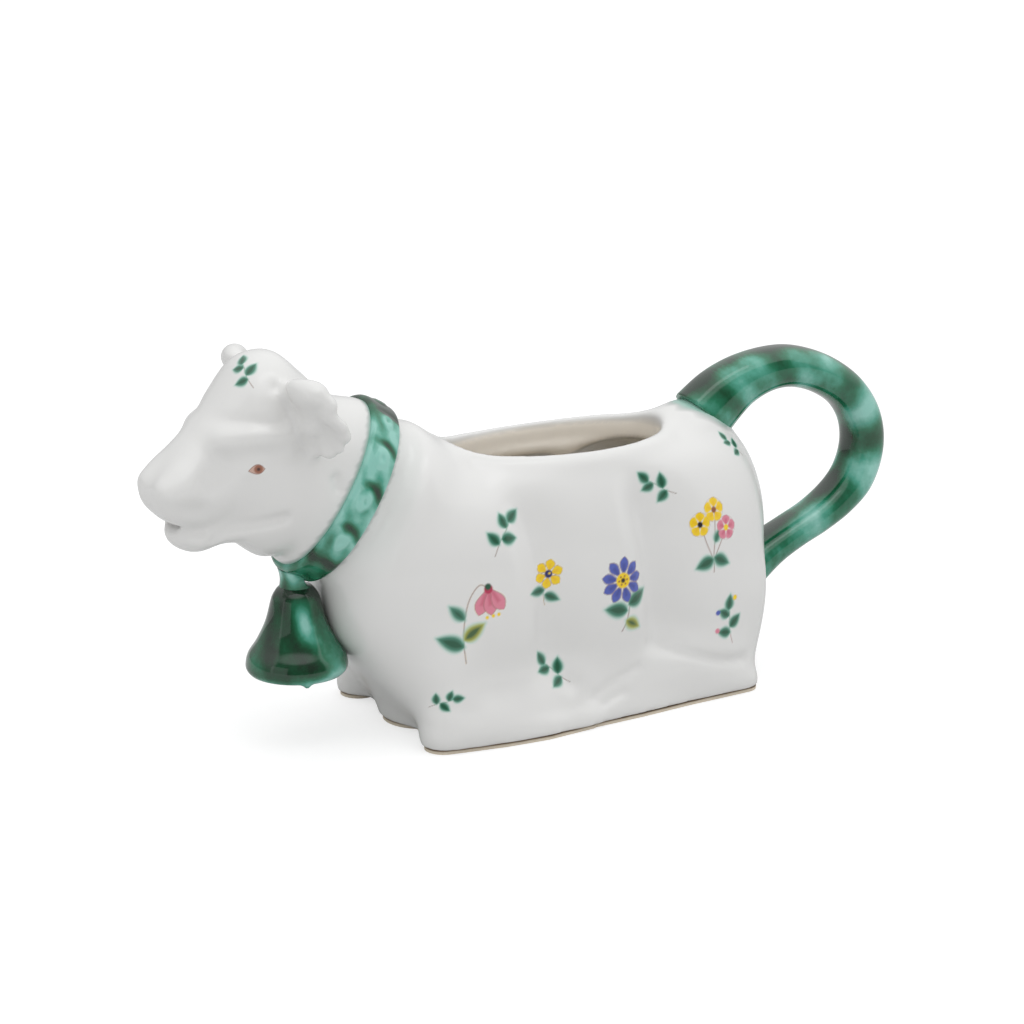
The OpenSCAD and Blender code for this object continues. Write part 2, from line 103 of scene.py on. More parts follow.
def setLamps():
    for name, (place, aim, size, power) in lampPlan.items():
        data = bpy.data.lights.new(name, "AREA")
        data.shape, data.size, data.size_y = "RECTANGLE", size[0] * mm, size[1] * mm
        data.energy = power
        aimed(name, data, Vector(place), Vector(aim) - Vector(place))


# shader expressions

class Wire:
    # a shader socket that Python operators can work on
    def __init__(self, tree, socket):
        self.tree, self.socket = tree, socket

    def maths(self, operation, *values):
        node = self.tree.nodes.new("ShaderNodeMath")
        node.operation = operation
        for slot, value in zip(node.inputs, values):
            plug(self.tree, slot, value)
        return Wire(self.tree, node.outputs[0])

    def __add__(self, other):
        return self.maths("ADD", self, other)

    def __sub__(self, other):
        return self.maths("SUBTRACT", self, other)

    def __mul__(self, other):
        return self.maths("MULTIPLY", self, other)

    def __radd__(self, other):
        return self.maths("ADD", other, self)

    def __rsub__(self, other):
        return self.maths("SUBTRACT", other, self)

    def __rmul__(self, other):
        return self.maths("MULTIPLY", other, self)


def plug(tree, slot, value):
    if isinstance(value, Wire):
        tree.links.new(value.socket, slot)
    else:
        slot.default_value = value


class Recipe:
    # a material or world and the one way that its nodes are made
    def __init__(self, name, holder=None):
        self.material = holder or bpy.data.materials.new(name)
        self.material.use_nodes = True
        self.tree = self.material.node_tree
        self.tree.nodes.clear()

    # any other node: values or wires for its sockets, the output to give back and its settings
    def node(self, kind, sockets=None, out=0, **settings):
        node = self.tree.nodes.new("ShaderNode" + kind)
        for key, value in settings.items():
            if key == "stops":
                ramp = node.color_ramp
                while len(ramp.elements) < len(value):
                    ramp.elements.new(0.5)
                for element, (place, colour) in zip(ramp.elements, value):
                    element.position, element.color = place, (*colour, 1)
            else:
                setattr(node, key, value)
        for key, value in (sockets or {}).items():
            plug(self.tree, node.inputs[key], value)
        return Wire(self.tree, node.outputs[out]) if node.outputs else None

    def noise(self, where, scale, detail=2.0, roughness=0.5):
        return self.node("TexNoise", {"Vector": where, "Scale": scale, "Detail": detail,
                                      "Roughness": roughness})

    def mix(self, share, first, second):
        return self.node("Mix", {0: share, 6: first, 7: second}, 2, data_type="RGBA")

    # a place on the object, in metres
    def where(self):
        return self.node("TexCoord", out="Object")

    def bump(self, height, strength, distance):
        return self.node("Bump", {"Height": height, "Strength": strength, "Distance": distance})

    def reach(self, value, low, high, top=1.0):
        return self.node("MapRange", {"Value": value, "From Min": low, "From Max": high,
                                      "To Max": top})

    def ramp(self, value, stops):
        return self.node("ValToRGB", {"Fac": value}, stops=stops)

    def finish(self, sockets):
        self.node("OutputMaterial", {"Surface": self.node("BsdfPrincipled", sockets)})
        return self.material


# 1 where a direction is past a vertical plane through the cow, soft over the plane's edge
def pastPlane(recipe, ray, azimuth, width):
    a = math.radians(azimuth)
    side = recipe.node("VectorMath", {0: ray, 1: (math.cos(a), math.sin(a), 0)}, 1,
                       operation="DOT_PRODUCT")
    return recipe.reach(side, -width, width)


def setWorldAndFloor():
    bpy.context.scene.view_settings.view_transform = "Standard"
    world = bpy.data.worlds.new("tent")
    bpy.context.scene.world = world
    air = Recipe("", world)
    ray = air.node("TexCoord", out="Generated")
    x, y, z = (air.node("SeparateXYZ", {0: ray}, i) for i in range(3))
    turn = cameraView["azimuth"]
    right = math.cos(math.radians(turn)) * x + math.sin(math.radians(turn)) * y
    gap = pastPlane(air, ray, turn + tent["gapLeft"], tent["edge"]) \
        * (1 - pastPlane(air, ray, turn + tent["gapRight"], tent["edge"])) \
        * air.reach(z, tent["gapTop"] + tent["topEdge"], tent["gapTop"] - tent["topEdge"])
    shiny = air.node("LightPath", out="Is Glossy Ray")
    light = tent["light"] + tent["towardsRight"] * right + tent["towardsTop"] * z
    dim = 1 - tent["gapGlow"] + (tent["gapGlow"] - tent["gapLight"]) * shiny
    light = light * (1 - dim * gap)
    cloth = air.node("Background", {"Color": tent["tint"], "Strength": light})
    paper = air.node("Background", {"Color": (1, 1, 1, 1), "Strength": 1.0})
    seen = air.node("LightPath", out="Is Camera Ray")
    both = air.node("MixShader", {0: seen, 1: cloth, 2: paper})
    air.node("OutputWorld", {"Surface": both})

    sheet = Recipe("paper")
    seen = sheet.node("LightPath", out="Is Camera Ray")
    lit = sheet.node("BsdfDiffuse", {"Color": floorLook["paper"]})
    glow = sheet.node("Emission", {"Strength": floorLook["glow"]})
    both = sheet.node("MixShader", {0: (1 - floorLook["shade"]) * seen, 1: lit, 2: glow})
    sheet.node("OutputMaterial", {"Surface": both})
    half = floorLook["half"]
    corners = [(-half, -half, 0), (half, -half, 0), (half, half, 0), (-half, half, 0)]
    meshPiece("floor", corners, [(0, 1, 2, 3)], sheet.material)


# meshes

def meshPiece(name, points, faces, material):
    mesh = bpy.data.meshes.new(name)
    points = np.asarray(points, float) * mm
    if isinstance(faces, np.ndarray):
        mesh.vertices.add(len(points))
        mesh.vertices.foreach_set("co", points.ravel())
        count, width = faces.shape
        mesh.loops.add(count * width)
        mesh.loops.foreach_set("vertex_index", faces.ravel())
        mesh.polygons.add(count)
        mesh.polygons.foreach_set("loop_start", np.arange(count) * width)
        mesh.update(calc_edges=True)
    else:
        mesh.from_pydata(points.tolist(), [], faces)
    mesh.validate()
    mesh.polygons.foreach_set("use_smooth", [True] * len(mesh.polygons))
    obj = bpy.data.objects.new(name, mesh)
    bpy.context.scene.collection.objects.link(obj)
    mesh.materials.append(material)
    return obj


def standsFor(obj, slotName, *nodes):
    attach(obj, "root")
    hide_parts(*nodes)


# rows on a smooth curve through the rows of a table
def smoothRows(rows, steps):
    rows = np.array(rows, float)
    last = len(rows) - 1
    t = np.linspace(0, last, last * steps + 1)
    k = np.minimum(t.astype(int), last - 1)
    f = (t - k)[:, None]
    a, b = rows[np.maximum(k - 1, 0)], rows[k]
    c, d = rows[k + 1], rows[np.minimum(k + 2, last)]
    return 0.5 * (2 * b + (c - a) * f + (2 * a - 5 * b + 4 * c - d) * f ** 2
                  + (3 * b - a - 3 * c + d) * f ** 3)


# a closed skin over a numpy array of rings, with its ends drawn to a point
def ringFaces(rings, joined=False):
    m, n = rings.shape[:2]
    points = rings.reshape(-1, 3)
    faces = []
    for k in range(m if joined else m - 1):
        a, b = k * n, (k + 1) % m * n
        faces += [(a + i, a + (i + 1) % n, b + (i + 1) % n, b + i) for i in range(n)]
    if not joined:
        points = np.vstack([points, rings[0].mean(0), rings[-1].mean(0)])
        top = (m - 1) * n
        faces += [((i + 1) % n, i, m * n) for i in range(n)]
        faces += [(top + i, top + (i + 1) % n, m * n + 1) for i in range(n)]
    return points, faces


def facesOut(obj):
    work = bmesh.new()
    work.from_mesh(obj.data)
    bmesh.ops.recalc_face_normals(work, faces=work.faces)
    work.to_mesh(obj.data)
    work.free()


# clay: soft forms on a grid, below 0 inside

def unit(value):
    return np.clip(value, 0, 1)


def softMin(a, b, k):
    h = unit(0.5 + 0.5 * (b - a) / k)
    return b + (a - b) * h - k * h * (1 - h)


class Clay:
    def __init__(self, low, high, step):
        self.low, self.step = np.array(low, float), step
        count = [int(round((b - a) / step)) + 1 for a, b in zip(low, high)]
        self.axes = [self.low[i] + step * np.arange(count[i]) for i in range(3)]
        self.field = np.full(count, 90.0)

    # the grid points in a box, ready to broadcast
    def window(self, low, high):
        cut = [slice(max(0, int((low[i] - self.low[i]) / self.step)),
                     max(0, int((high[i] - self.low[i]) / self.step) + 2)) for i in range(3)]
        x, y, z = (self.axes[i][cut[i]] for i in range(3))
        return tuple(cut), x[:, None, None], y[None, :, None], z[None, None, :]

    def work(self, form, blend, take):
        shape, low, high = form
        room = 2 * blend + 2 * self.step + 1
        low = self.low if low is None else np.array(low) - room
        high = self.low + 1e4 if high is None else np.array(high) + room
        cut, x, y, z = self.window(low, high)
        if 0 in self.field[cut].shape:
            return
        new = shape(x, y, z)
        if take:
            self.field[cut] = -softMin(-self.field[cut], new, blend)
        else:
            self.field[cut] = softMin(self.field[cut], new, blend)

    def add(self, form, blend=0.5):
        self.work(form, blend, False)

    def carve(self, form, blend=0.5):
        self.work(form, blend, True)

    # rounds every crease off, as thick glaze does, where the share isn't 0
    def soften(self, rounds, share=1.0):
        f = self.field
        for k in range(rounds):
            for axis in range(3):
                last = f.shape[axis] - 1
                ahead = f.take(np.minimum(np.arange(last + 1) + 1, last), axis)
                behind = f.take(np.maximum(np.arange(last + 1) - 1, 0), axis)
                f = 0.5 * f + 0.25 * (ahead + behind)
        self.field = self.field + share * (f - self.field)

    # quads where the field passes 0: a point in each cell that the surface crosses, and a face
    # round each grid edge that it cuts
    def skin(self):
        f = self.field
        shape = np.array(f.shape) - 1
        count = shape.prod()
        total, hits = np.zeros((count, 3)), np.zeros(count)
        quads = []
        for axis in range(3):
            a, b = (f.take(np.arange(shape[axis]) + i, axis) for i in (0, 1))
            cross = (a < 0) != (b < 0)
            where = np.argwhere(cross)
            place = where.astype(float)
            place[:, axis] += a[cross] / (a[cross] - b[cross])
            others = [i for i in range(3) if i != axis]
            cells = np.full((len(where), 4), -1)
            for corner, shift in enumerate(((0, 0), (1, 0), (1, 1), (0, 1))):
                cell = where.copy()
                cell[:, others] -= shift
                ok = (cell >= 0).all(1) & (cell < shape).all(1)
                flat = np.ravel_multi_index(cell[ok].T, shape)
                cells[ok, corner] = flat
                hits += np.bincount(flat, minlength=count)
                for c in range(3):
                    total[:, c] += np.bincount(flat, place[ok, c], count)
            turn = (a[cross] < 0) == (axis == 1)
            cells[turn] = cells[turn][:, ::-1]
            quads.append(cells[(cells >= 0).all(1)])
        used = hits > 0
        points = self.low + self.step * total[used] / hits[used][:, None]
        return points, (np.cumsum(used) - 1)[np.vstack(quads)]


# smooths points on a net of faces without shrinking it much
def relax(points, faces, rounds, push=0.5, pull=-0.52):
    a = faces.ravel()
    b = np.roll(faces, -1, 1).ravel()
    a, b = np.concatenate([a, b]), np.concatenate([b, a])
    count = np.maximum(np.bincount(a, minlength=len(points)), 1)[:, None]
    for k in range(rounds):
        for weight in (push, pull):
            near = np.stack([np.bincount(a, points[b, c], len(points)) for c in range(3)], 1)
            points = points + weight * (near / count - points)
    return points


# a limb of balls along x, y, z, radius; mirrored makes both sides from one, upright gives it
# sides that run straight down
def chain(points, mirrored=False, wide=1.0, upright=False):
    p = np.array(points, float)

    def shape(x, y, z):
        side = (-np.abs(y) if mirrored else y) / wide
        best = None
        for a, b in zip(p[:-1], p[1:]):
            a, b = a.copy(), b.copy()
            a[1], b[1] = a[1] / wide, b[1] / wide
            d = b[:3] - a[:3]
            t = ((x - a[0]) * d[0] + (side - a[1]) * d[1] + (z - a[2]) * d[2]) / max(d @ d, 1e-9)
            t = unit(t)
            rise = z - a[2] - t * d[2]
            rise = np.maximum(rise, 0) if upright else rise
            far = np.sqrt((x - a[0] - t * d[0]) ** 2 + (side - a[1] - t * d[1]) ** 2
                          + rise ** 2) - (a[3] + t * (b[3] - a[3]))
            best = far if best is None else np.minimum(best, far)
        return best
    low, high = (p[:, :3] - p[:, 3:] * wide).min(0), (p[:, :3] + p[:, 3:] * wide).max(0)
    if mirrored:
        low[1], high[1] = min(low[1], -high[1]), max(high[1], -low[1])
    return shape, low, high


# how far a point is outside an oval of half-sizes a and b, squarer as n grows
def ovalFar(u, v, a, b, n):
    u, v = np.abs(u) / a, np.abs(v) / b
    r = np.maximum((u ** n + v ** n) ** (1 / n), 0.05)
    slope = r ** (1 - n) * np.sqrt((u ** (n - 1) / a) ** 2 + (v ** (n - 1) / b) ** 2)
    return (r - 1) / np.maximum(slope, 1e-4)


# a form over slanting rings: rows of upper x, z, lower x, z, half-width, squareness
def slantForm(rings, inset=0.0, steps=6):
    rows = smoothRows(rings, steps)
    mid, half = (rows[:, :2] + rows[:, 2:4]) / 2, (rows[:, :2] - rows[:, 2:4]) / 2
    tall = np.linalg.norm(half, axis=1)
    up = half / tall[:, None]
    ahead = np.stack([-up[:, 1], up[:, 0]], 1)

    def shape(x, y, z):
        gx, gz = np.broadcast_arrays(x[:, 0, 0][:, None], z[0, 0, :][None, :])
        best = np.full(gx.shape, 1e6)
        keep = [np.zeros(gx.shape), np.ones(gx.shape), np.ones(gx.shape), np.full(gx.shape, 2.0),
                np.full(gx.shape, 60.0)]

        def offer(where, u, h, w, n, past):
            take = where & (np.abs(u / h) < best)
            best[take] = np.abs(u / h)[take]
            for store, value in zip(keep, (u, h, w, n, past)):
                store[take] = np.broadcast_to(value, gx.shape)[take]
        ends = [(gx - mid[j, 0]) * ahead[j, 0] + (gz - mid[j, 1]) * ahead[j, 1] for j in (0, -1)]
        for k in range(len(rows) - 1):
            s = [(gx - mid[j, 0]) * ahead[j, 0] + (gz - mid[j, 1]) * ahead[j, 1]
                 for j in (k, k + 1)]
            past = np.maximum(-ends[0] if k < steps else -60.0,
                              ends[1] if k > len(rows) - 2 - steps else -60.0)
            f = unit(s[0] / (s[0] - s[1] + 1e-9))
            ux = up[k, 0] + f * (up[k + 1, 0] - up[k, 0])
            uz = up[k, 1] + f * (up[k + 1, 1] - up[k, 1])
            mx = mid[k, 0] + f * (mid[k + 1, 0] - mid[k, 0])
            mz = mid[k, 1] + f * (mid[k + 1, 1] - mid[k, 1])
            u = (gx - mx) * ux + (gz - mz) * uz
            row = [rows[k, c] + f * (rows[k + 1, c] - rows[k, c]) for c in (4, 5)]
            h = tall[k] + f * (tall[k + 1] - tall[k])
            offer((s[0] >= 0) & (s[1] <= 0), u, h, row[0], row[1], past)
        for j, sign in ((0, -1), (-1, 1)):
            s = sign * ends[j]
            u = (gx - mid[j, 0]) * up[j, 0] + (gz - mid[j, 1]) * up[j, 1]
            offer((s > 0) & (s < 14), u, tall[j], rows[j, 4], rows[j, 5], s)
        u, h, w, n, past = (q[:, None, :] for q in keep)
        far = ovalFar(u, y, np.maximum(h - inset, 0.3), np.maximum(w - inset, 0.3), n)
        return np.where(best[:, None, :] > 1e5, 60.0, np.maximum(far, past))
    return shape, None, None


# measures shared with the solids, most of them as shares of the piece's size

# the trunk's rings: height, reach to the front and to the back, half-width, squareness
body = {"halfL": 46.0, "halfW": 21.5, "backH": 53.0, "wall": 3.4, "footH": 0.8,
        "rings": [[0.00, 0.77, 0.855, 0.86, 5.5], [0.09, 0.84, 0.89, 0.90, 5.0],
                  [0.23, 0.965, 0.94, 0.95, 4.6], [0.38, 1.055, 0.965, 0.99, 4.0],
                  [0.53, 1.095, 0.975, 1.00, 3.3], [0.68, 1.08, 0.985, 0.97, 3.0],
                  [0.79, 0.98, 0.97, 0.91, 2.8], [0.88, 0.84, 0.935, 0.83, 2.6],
                  [0.94, 0.73, 0.87, 0.75, 2.5], [0.98, 0.66, 0.78, 0.67, 2.4],
                  [1.00, 0.60, 0.70, 0.60, 2.4]],
        "waists": [(-13.2, 2.7), (12.4, 3.5)], "waistSlant": 0.14, "waistWidth": 4.4,
        "hump": ((0.675, 0, 0.93), (0.205, 0.40, 0.165)), "brisketR": 0.38,
        "brisket": ((0.665, 0.0), (0.68, 0.16), (0.77, 0.34), (0.84, 0.50)),
        "softRounds": 6, "legRounds": 22, "roomRounds": 10}
# rings of the neck and head: upper x and z, lower x and z, half-width, and the head's squareness
neck = {"centre": np.array([-49.1, 0.0, 49.8]), "lean": 30.7, "halfH": 17.5, "halfW": 12.0,
        "square": 2.1, "collarW": 6.6,
        "rings": [[-0.30, 0.80, -0.50, 0.10, 0.85], [-0.545, 1.04, -1.03, 0.33, 0.84],
                  [-0.70, 1.15, -1.122, 0.50, 0.74]]}
head = {"reach": 38.9, "rise": 29.3, "width": 24.5,
        "rings": [[0.05, 0.655, 0.35, -0.39, 1.00, 2.1], [0.20, 0.84, 0.44, -0.365, 1.03, 2.1],
                  [0.33, 0.98, 0.53, -0.27, 0.98, 2.2], [0.48, 0.96, 0.59, -0.16, 0.90, 2.3],
                  [0.58, 0.82, 0.64, -0.12, 0.82, 2.3], [0.66, 0.68, 0.70, -0.12, 0.75, 2.3],
                  [0.74, 0.55, 0.76, -0.125, 0.70, 2.3], [0.83, 0.43, 0.83, -0.11, 0.69, 2.4],
                  [0.92, 0.30, 0.90, -0.07, 0.66, 2.5], [0.985, 0.19, 0.965, 0.00, 0.54, 2.4],
                  [1.00, 0.15, 0.995, 0.07, 0.34, 2.2]],
        "jaw": [[0.46, 0.74, -0.11, 0.17], [0.62, 0.56, -0.11, 0.13],
                [0.76, 0.43, -0.185, 0.115], [0.835, 0.36, -0.15, 0.10]],
        "cheek": [[0.40, 0.68, 0.51, 0.12], [0.52, 0.66, 0.50, 0.125], [0.62, 0.56, 0.46, 0.11]],
        "nostril": [[0.84, 0.36, 0.20, 0.14], [0.92, 0.34, 0.14, 0.13]],
        "slot": ((0.66, 0.16), (0.95, -0.14)), "slotR": 1.3, "slotHalfW": 4.0,
        "softRounds": 4}
mouth = {"x": -1.15, "halfL": 24.25, "halfW": 11.5, "egg": 0.13, "lip": 1.5, "sink": 0.6,
         "rise": (0.055, 0.03), "taper": 0.4, "taperTop": 50, "floor": 28}
# the boxes in which the soft forms are computed, and the step of each grid
grids = {"body": ((-61.2, -27.0, -0.6), (48.6, 27.0, 67.8), 0.6),
         "head": ((-91.0, -24.4, 33.0), (-38.8, 24.4, 80.4), 0.45),
         "tail": ((28.0, -6.6, 12.0), (84.0, 6.6, 69.0), 0.4)}

leanWay = np.array([-math.cos(math.radians(neck["lean"])), 0, math.sin(math.radians(neck["lean"]))])
acrossWay = np.array([math.sin(math.radians(neck["lean"])), 0, math.cos(math.radians(neck["lean"]))])


# the neck's ring at a distance in front of the collar's middle
def neckRow(d):
    c = neck["centre"] + leanWay * d
    a, b = c + acrossWay * neck["halfH"], c - acrossWay * neck["halfH"]
    return [a[0], a[2], b[0], b[2], neck["halfW"], neck["square"]]


# how deep the two waists draw the flanks in: steep towards the head, easy towards the rump,
# and fading to the foot and the back
def waist(x, z):
    total = 0
    for place, depth in body["waists"]:
        u = (x - place + body["waistSlant"] * (z - 20)) / body["waistWidth"]
        u = np.where(u < 0, u * 1.35, u * 0.62)
        total = total + depth * np.exp(-u ** 2)
    low, high = unit((z - 5) / 9), unit((52 - z) / 12)
    return total * low * low * (3 - 2 * low) * high * high * (3 - 2 * high)


def trunkForm(inset=0.0):
    rows = smoothRows(body["rings"], 8)
    level = rows[:, 0] * (body["backH"] - inset)

    def shape(x, y, z):
        front, back, width, n = (np.interp(z, level, rows[:, c]) for c in range(1, 5))
        front, back = -front * body["halfL"] + inset, back * body["halfL"] - inset
        width = width * body["halfW"] - inset
        pinch = 1 - waist(x, z) / width
        far = ovalFar(x - (front + back) / 2, y / pinch, (back - front) / 2, width, n)
        return -softMin(-far, -(z - level[-1]), 2.0)
    return shape, None, None


def neckForm(inset=0.0, end=0.0):
    rows = [[s[0] * body["halfL"], s[1] * body["backH"], s[2] * body["halfL"],
             s[3] * body["backH"], s[4] * body["halfW"], 2.2] for s in neck["rings"]]
    return slantForm(rows + [neckRow(-neck["collarW"]), neckRow(end)], inset)


# how far a point is outside the filling mouth, seen from above
def mouthFar(x, y, grow=0.0):
    u = (x - mouth["x"]) / mouth["halfL"]
    wide = mouth["halfW"] * (1 + mouth["egg"] * np.clip(u, -1, 1))
    return ovalFar(x - mouth["x"], y, mouth["halfL"] + grow, wide + grow, 2.0)


# the cut of the filling mouth, narrower inside the pot
def mouthForm():
    def shape(x, y, z):
        narrow = mouth["taper"] * np.clip(mouth["taperTop"] - z, 0, 20)
        return np.maximum(mouthFar(x, y) + narrow, mouth["floor"] - z)
    return shape, [-28, -14, mouth["floor"] - 2], [26, 14, 70]


# the rolled lip round the filling mouth, higher at its two ends
def lipPath():
    t = np.linspace(0, 2 * np.pi, 49)
    c = np.cos(t)
    x = mouth["x"] + (mouth["halfL"] + mouth["lip"]) * c
    y = (mouth["halfW"] + mouth["lip"]) * np.sin(t) * (1 + mouth["egg"] * c)
    z = body["backH"] - mouth["lip"] * mouth["sink"] \
        + body["backH"] * mouth["rise"][0] * np.maximum(0, -c) ** 3 \
        + body["backH"] * mouth["rise"][1] * np.maximum(0, c) ** 3
    return np.stack([x, y, z, np.full(len(t), mouth["lip"])], 1)


# how far out a point is in an egg, 0 on its skin and -1 at its centre
def eggShare(x, y, z, centre, radii):
    return np.sqrt(((x - centre[0]) / radii[0]) ** 2 + ((y - centre[1]) / radii[1]) ** 2
                   + ((z - centre[2]) / radii[2]) ** 2) - 1


# the hump under the tail's root
def humpForm():
    size = np.array([body["halfL"], body["halfW"], body["backH"]])
    c, r = size * body["hump"][0], size * body["hump"][1]
    return lambda x, y, z: eggShare(x, y, z, c, r) * r.min(), c - r, c + r


# the cow's body with its legs

# limbs from x, y, height and radius, and how softly each one joins the trunk
legs = {"halfL": 39.25, "halfW": 25.0, "thick": 6.4,
        "joins": {"foreUpper": 4.0, "hindThigh": 4.5, "foreHoof": 2.5, "hindHoof": 2.5,
                  "foreLower": 5.0, "hindShank": 3.0},
        "foreUpper": [[-0.88, 0.69, 0.70, 0.73], [-0.87, 0.66, 2.10, 0.78],
                      [-0.82, 0.56, 3.20, 0.78]],
        "foreLower": [[-0.87, 0.75, 0.70, 0.60], [-0.70, 0.81, 0.80, 0.52],
                      [-0.50, 0.80, 0.95, 0.45], [-0.30, 0.765, 1.10, 0.40], [-0.12, 0.73, 1.15, 0.36]],
        "foreHoof": [[-0.90, 0.75, 0.30, 0.66], [-0.62, 0.865, 0.25, 0.45],
                     [-0.38, 0.885, 0.22, 0.43], [-0.12, 0.84, 0.20, 0.40]],
        "hindThigh": [[0.34, 0.68, 1.45, 0.52], [0.55, 0.66, 1.35, 0.55], [0.78, 0.62, 1.15, 0.60]],
        "hindShank": [[0.02, 0.78, 0.50, 0.40], [0.22, 0.75, 0.95, 0.44], [0.42, 0.715, 0.95, 0.45],
                      [0.62, 0.68, 0.70, 0.46], [0.84, 0.65, 0.42, 0.50]],
        "hindHoof": [[-0.16, 0.83, 0.20, 0.40], [0.20, 0.785, 0.24, 0.42],
                     [0.50, 0.72, 0.26, 0.45], [0.88, 0.63, 0.26, 0.62]]}
# shallow hollows, or swellings where the depth is below 0: width, depth and a path of x, y, z
bodyDents = [
    (1.7, 0.7, [(-8.6, -21.5, 10.0), (-7.6, -21.5, 9.4)]),
    (1.0, 0.45, [(-3.5, -22.5, 6.0), (2.0, -22.0, 8.2), (7.5, -21.2, 10.2)]),
    (0.9, 0.35, [(-1.5, -22.3, 4.2), (3.5, -22.0, 6.0)]),
    (1.3, 0.60, [(11.0, -20.5, 14.2), (18.0, -20.5, 11.4), (26.5, -20.0, 8.4), (33, -19, 7.4)]),
    (2.2, 0.35, [(-37.0, -19.0, 9.5), (-31.0, -20.5, 7.5)]),
]


def legPath(name):
    rows = smoothRows(legs[name], 2)
    rows[:, :2] *= (legs["halfL"], -legs["halfW"])
    rows[:, 2:] *= legs["thick"]
    rows[:, 2] += body["footH"]
    return rows


def brisketPath():
    return [[-x * body["halfL"], 0, z * body["backH"], body["brisketR"] * body["halfW"]]
            for x, z in body["brisket"]]


def bodyClay():
    clay, room = Clay(*grids["body"]), Clay(*grids["body"])
    z = clay.axes[2][None, None, :]
    clay.add(trunkForm())
    clay.add(humpForm(), 5.0)
    clay.add(neckForm(), 5.0)
    clay.add(chain(brisketPath()), 4.0)
    clay.add(chain(lipPath()), 3.0)
    for name, blend in legs["joins"].items():
        clay.add(chain(legPath(name), mirrored=True, upright="Hoof" in name), blend)
    clay.soften(body["softRounds"])
    clay.soften(body["legRounds"], unit((20 - z) / 7) * unit((z - 2.5) / 3))
    addDents(clay, bodyDents)
    room.add(trunkForm(body["wall"]))
    room.add(neckForm(body["wall"], 2.0), 2.0)
    room.soften(body["roomRounds"])
    hollow = -softMin(-room.field, z - (body["footH"] + body["wall"]), 1.5)
    clay.field = -softMin(-clay.field, hollow, 0.4)
    clay.carve(mouthForm(), 1.4)
    clay.field = -softMin(-clay.field, z - body["footH"], 0.5)
    return clay


def addDents(clay, dents):
    for width, depth, path in dents:
        shape, low, high = chain([[*p, 0.0] for p in smoothRows(path, 4)], mirrored=True, wide=2.5)
        room = 3 * width * np.array([1, 2.5, 1])
        cut, x, y, z = clay.window(low - room, high + room)
        clay.field[cut] += depth * np.exp(-(shape(x, y, z) / width) ** 2)


def headPoint(x, z):
    return neck["centre"][0] - x * head["reach"], neck["centre"][2] + z * head["rise"]


def headForm(inset=0.0, count=None, start=0.0):
    rows = [[*headPoint(s[0], s[1]), *headPoint(s[2], s[3]), s[4] * head["width"] / 2, s[5]]
            for s in head["rings"][:count]]
    return slantForm([neckRow(start), neckRow(0.6 * neck["collarW"])] + rows, inset)


def headPath(rows):
    places = [headPoint(s[0], s[2]) for s in rows]
    return [[px, -s[1] * head["width"] / 2, pz, s[3] * head["width"]]
            for s, (px, pz) in zip(rows, places)]


# the lower jaw: a row of eggs that melt together
def jawForm():
    rows = headPath(smoothRows(head["jaw"], 4))

    def shape(x, y, z):
        best = None
        for px, w, pz, r in rows:
            far = eggShare(x, y, z, (px, 0, pz), (r, w, r)) * r
            best = far if best is None else softMin(best, far, 0.8)
        return best
    return shape, (-86, -11, 38), (-60, 11, 54)


# an ear's edge goes round in rows of forward, out and up, and its middle is the heart
ear = {"span": 42.6, "height": 12.5, "thick": 2.8, "root": (0.275, 0.385),
       "edge": [[0.22, 0.00, 0.40], [0.32, -0.38, 0.70], [0.30, 0.30, 0.98], [0.16, 0.78, 1.00],
                [-0.04, 1.00, 0.86], [0.01, 0.97, 0.66], [-0.15, 1.00, 0.56], [-0.30, 0.97, 0.34],
                [-0.26, 0.82, 0.12], [-0.14, 0.50, 0.04], [0.06, 0.05, 0.12]],
       "heart": [0.02, 0.50, 0.48], "ruffle": 0.30}
headDents = [
    (1.3, 0.65, [(-77.5, -5.5, 68.2), (-75.5, -7.5, 68.0), (-70.5, -10.5, 67.6), (-65.5, -11.5, 67.0)]),
    (2.2, 0.35, [(-77.5, -6.5, 61.6), (-74, -9, 61.6), (-69, -11, 61.9), (-63, -12, 61.3)]),
    (2.6, -0.55, [(-76.0, -6.5, 64.8), (-72, -9.5, 64.9), (-67.0, -11.3, 64.6)]),
    (1.7, 1.20, [(-64.6, -11, 73.0), (-63.0, -11.5, 68), (-61.0, -11.5, 62.5)]),
    (2.8, 1.00, [(-79.0, -7.5, 56.5), (-76.5, -9.0, 59.5)]),
    (2.2, 0.90, [(-89.0, -4.0, 53.2), (-85.5, -7.0, 52.0), (-80.0, -9.0, 51.2)]),
    (0.6, 0.45, [(-84.5, -6.0, 47.5), (-82.4, -6.6, 46.4)]),
    (1.1, 0.80, [(-77.2, -7.5, 44.6), (-73.5, -9.5, 47.0), (-69.5, -10.5, 47.8), (-64.5, -11, 48.8)]),
    (2.8, -0.60, [(-72.0, -5.5, 42.5), (-67.5, -6.5, 41.0)]),
    (1.4, 0.90, [(-54.2, -11.5, 55.0), (-53.6, -11.5, 53.4)]),
    (2.2, -0.35, [(-70.9, -10.5, 59.0), (-70.3, -10.8, 59.0)]),
    (2.6, 1.00, [(-62.5, -17.5, 69.0), (-60.0, -19.0, 66.5), (-57.5, -19.5, 63.5)]),
]


def earPoint(s):
    px, pz = headPoint(*ear["root"])
    out = (ear["span"] - head["width"]) / 2
    return [px - s[0] * ear["height"],
            -head["width"] / 2 + ear["thick"] - s[1] * (out + ear["thick"] / 2),
            pz + s[2] * ear["height"]]


